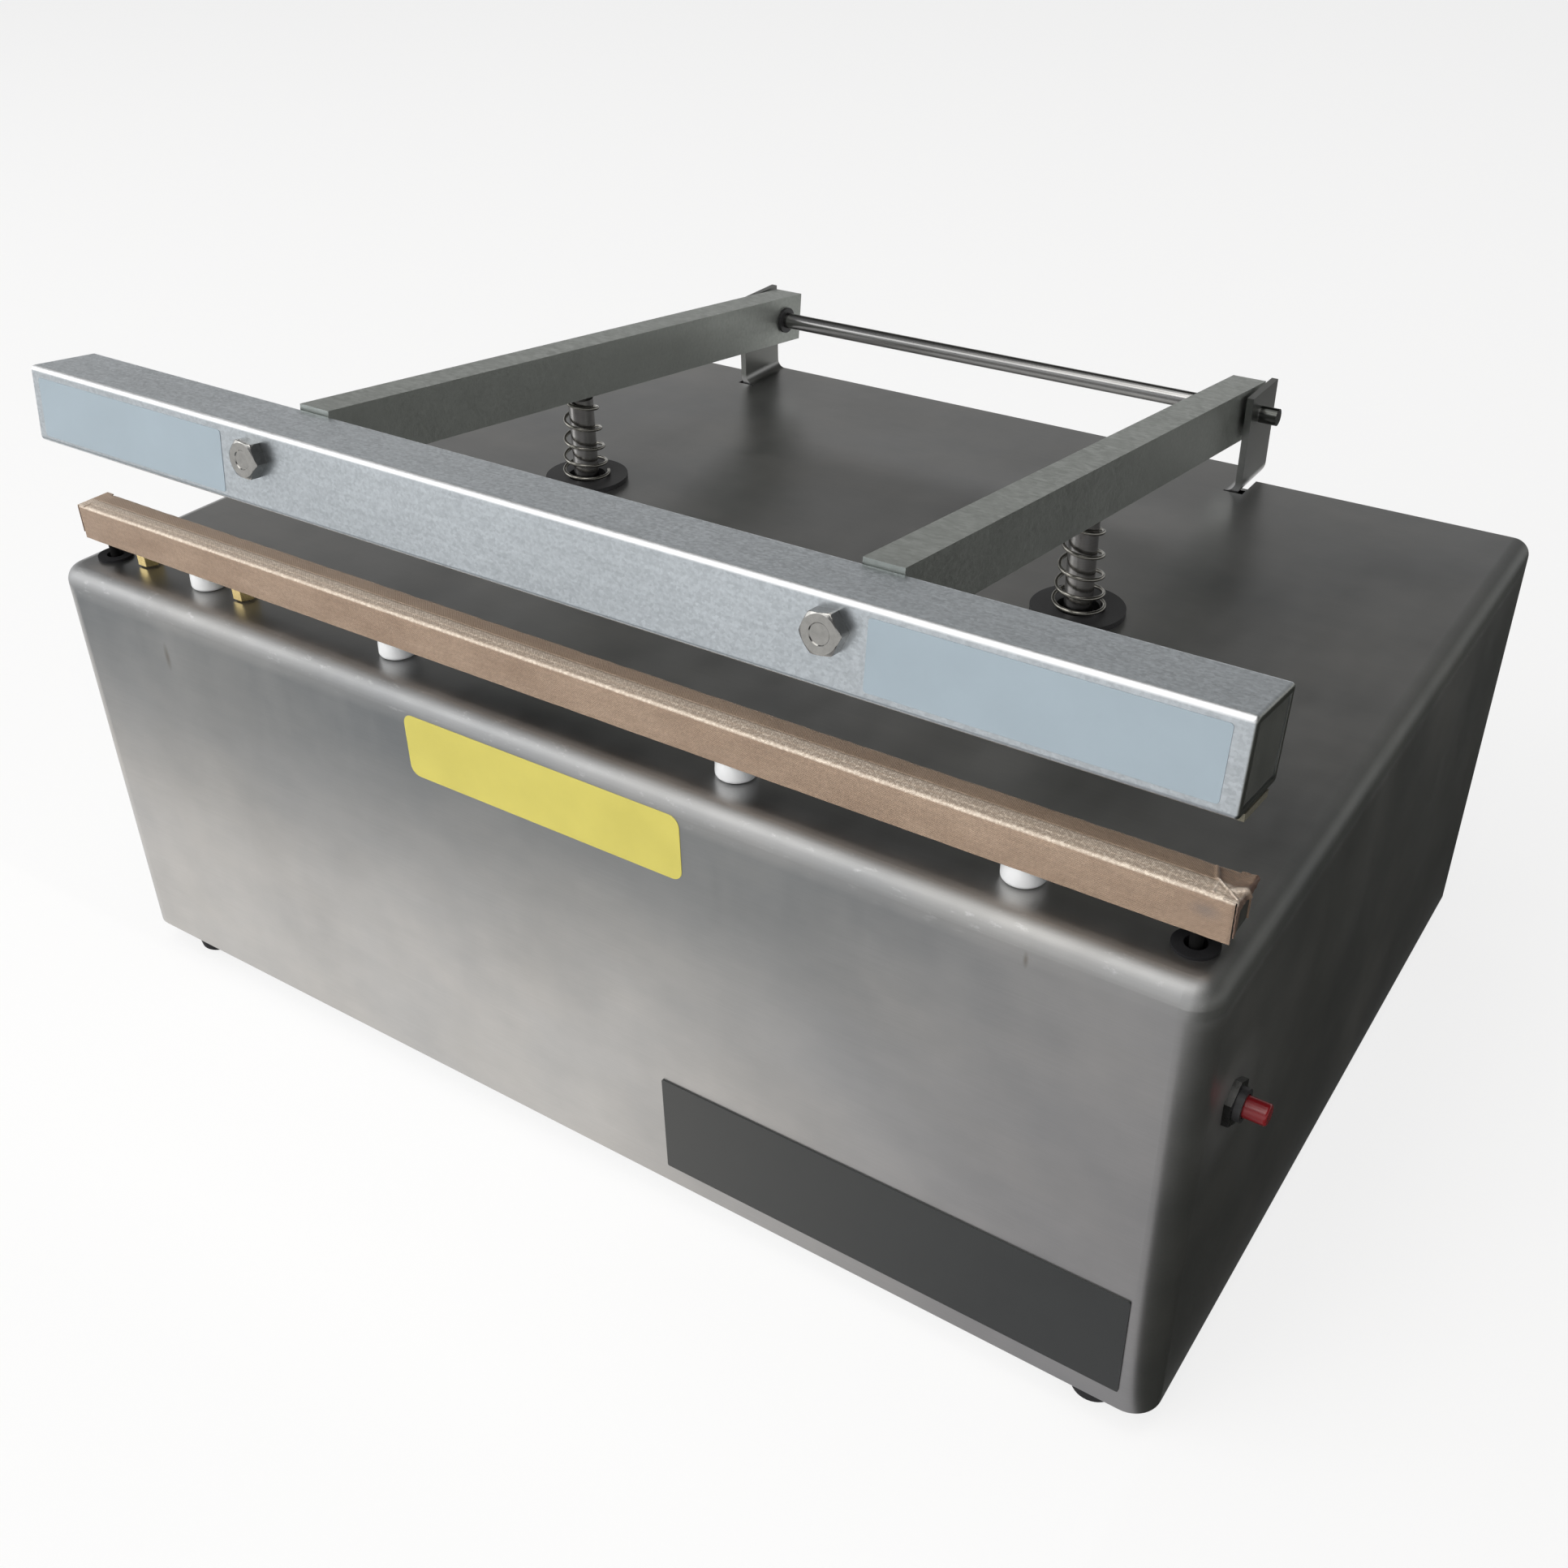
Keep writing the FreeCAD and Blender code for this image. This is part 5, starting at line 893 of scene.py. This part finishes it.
def floor_paint():
    """Pale paint. Rays from the camera, and those by way of metal or glass, also meet a share of plain
    white, so that the floor reads as a white sheet and still keeps the object's shadow."""
    made, tree, shader = finish("floor_paint", (0.9, 0.9, 0.89), 0.0, 0.7)
    path = add(tree, "LightPath").outputs
    seen = maths(tree, "MAXIMUM", path["Is Camera Ray"], path["Is Glossy Ray"])
    seen = maths(tree, "MAXIMUM", seen, path["Is Transmission Ray"])
    white = add(tree, "Emission", {"Color": (1.0, 1.0, 1.0, 1.0), "Strength": 1.0})
    share = times(tree, seen, FLOOR_WHITE)
    inputs = {0: share, 1: shader.outputs["BSDF"], 2: white.outputs["Emission"]}
    mixed = add(tree, "MixShader", inputs).outputs["Shader"]
    tree.links.new(mixed, tree.nodes["Material Output"].inputs["Surface"])
    return made


floor = level_sheet("floor", (-FLOOR_HALF, -FLOOR_HALF), (FLOOR_HALF, FLOOR_HALF), 0.0, floor_paint())


def softbox(name, place, aim, size, power, colour=(1.0, 1.0, 1.0)):
    """An area lamp of a width and height, at a place and aimed at a point."""
    lamp = bpy.data.lights.new(name, "AREA")
    lamp.shape = "RECTANGLE"
    lamp.size, lamp.size_y = size
    lamp.energy = power
    lamp.color = colour
    holder = bpy.data.objects.new(name, lamp)
    back = np.array(place) - np.array(aim)
    back = back / np.linalg.norm(back)
    right = np.cross((0.0, 1.0, 0.0), back)
    right /= np.linalg.norm(right)
    turn = Matrix(np.stack([right, np.cross(back, right), back], 1).tolist())
    holder.matrix_world = Matrix.Translation(place) @ turn.to_4x4()
    bpy.context.scene.collection.objects.link(holder)
    return holder


softbox("key_lamp", (-0.1, -1.7, 3.4), (0.0, -0.1, 0.1), (3.0, 2.6), 50.0, WARM)
softbox("strip_lamp", (-1.6, -1.5, 1.6), (-1.6, -0.1, 0.2), (3.0, 0.8), 12.5)
softbox("left_lamp", (-2.9, -1.4, 1.35), (-0.1, -0.1, 0.2), (2.0, 1.6), 15.0)
fill_lamp = softbox("fill_lamp", (-0.7, -2.6, 1.3), (0.0, -0.1, 0.15), (3.0, 1.6), 34.0, WARM)
fill_lamp.visible_glossy = False
softbox("top_lamp", (0.0, -0.1, 3.4), (0.0, -0.1, 0.0), (2.4, 2.4), 22.0)


def card(name, low, high, paint):
    """A card on the floor that shows in reflections only, to grade what the metal mirrors."""
    made = level_sheet(name, low, high, CARD_HEIGHT, paint)
    made.visible_camera = False
    made.visible_diffuse = False
    made.visible_shadow = False
    made.visible_transmission = False


def graded_paint():
    """Light that falls off over the card: white beside the case, grey further out and to the right."""
    made, tree, _ = finish("graded_paint", (0.5, 0.5, 0.5), 0.0, 0.9)
    place = axes_of(tree)
    out = level(tree, place["Y"], 0.0, 1.0, -0.5, -0.15)
    outward = ramp(
        tree, out,
        (0.0, (0.25, 0.27, 0.285)),
        (0.62, (0.28, 0.305, 0.32)),
        (0.75, (1.12, 1.085, 1.05)),
        (1.0, (1.2, 1.16, 1.11)),
    )
    right = level(tree, place["X"], 0.0, 1.0, -0.02, 0.15)
    shade = tint(tree, "MIX", right, outward, (0.52, 0.51, 0.52, 1.0))
    glow = add(tree, "Emission", {"Color": shade, "Strength": 1.0}).outputs["Emission"]
    tree.links.new(glow, tree.nodes["Material Output"].inputs["Surface"])
    return made


dark_paint = moulded("dark_card", (0.04, 0.042, 0.037), 0.9, 40.0, 0.00002, 1.15)
card("side_card", (SIDE_START, -0.4), (1.3, 1.2), dark_paint)
card("front_card", (-1.2, -0.5), (SIDE_START, CASE_FRONT - CARD_GAP), graded_paint())

world = bpy.data.worlds.new("room")
bpy.context.scene.world = world
world.use_nodes = True
room = world.node_tree
direction = add(room, "TexCoord").outputs["Generated"]
compass = add(room, "SeparateXYZ", {"Vector": direction}).outputs
room_shade = ramp(
    room, compass["Z"],
    (0.0, (0.85, 0.85, 0.85)),
    (0.2, (0.7, 0.7, 0.7)),
    (0.31, (0.58, 0.58, 0.58)),
    (0.38, (0.11, 0.11, 0.103)),
    (0.5, (0.048, 0.048, 0.044)),
)
above = level(room, compass["Z"], 0.0, 1.0, 0.26, 0.36)
room_shade = tint(room, "MULTIPLY", above, room_shade, level(room, compass["X"], 1.0, 0.25, 0.05, 0.5))
room_shade = tint(room, "MULTIPLY", above, room_shade, level(room, compass["Y"], 0.5, 1.0, -0.4, 0.1))
facing = add(room, "VectorMath", {0: direction, 1: GLOW_TOWARD}, operation="DOT_PRODUCT").outputs["Value"]
glow = ramp(room, facing, (0.1, (0.0, 0.0, 0.0)), (0.6, (0.14, 0.145, 0.155)), (1.0, (0.3, 0.305, 0.32)))
lit = tint(room, "ADD", 1.0, room_shade, glow)
room.links.new(lit, room.nodes["Background"].inputs["Color"])

# Camera at the photograph's viewing angle
# Its place, heading, fall below level and roll were solved from the edges of the case.
CAMERA_PLACE = (0.294546, -0.448923, 0.424618)
CAMERA_HEADING = math.radians(34.4876)
CAMERA_FALL = math.radians(33.4386)
CAMERA_ROLL = math.radians(-1.1107)
CAMERA_LENS = 38.271
camera = bpy.data.objects.new("camera", bpy.data.cameras.new("camera"))
camera.data.sensor_width = 36.0
camera.data.lens = CAMERA_LENS
camera.data.clip_start = 0.01
tilt = Matrix.Rotation(math.pi / 2 - CAMERA_FALL, 4, "X")
camera.matrix_world = (
    Matrix.Translation(CAMERA_PLACE)
    @ Matrix.Rotation(CAMERA_HEADING, 4, "Z")
    @ tilt
    @ Matrix.Rotation(CAMERA_ROLL, 4, "Z")
)
bpy.context.scene.collection.objects.link(camera)
bpy.context.scene.camera = camera
bpy.context.scene.view_settings.view_transform = "Standard"
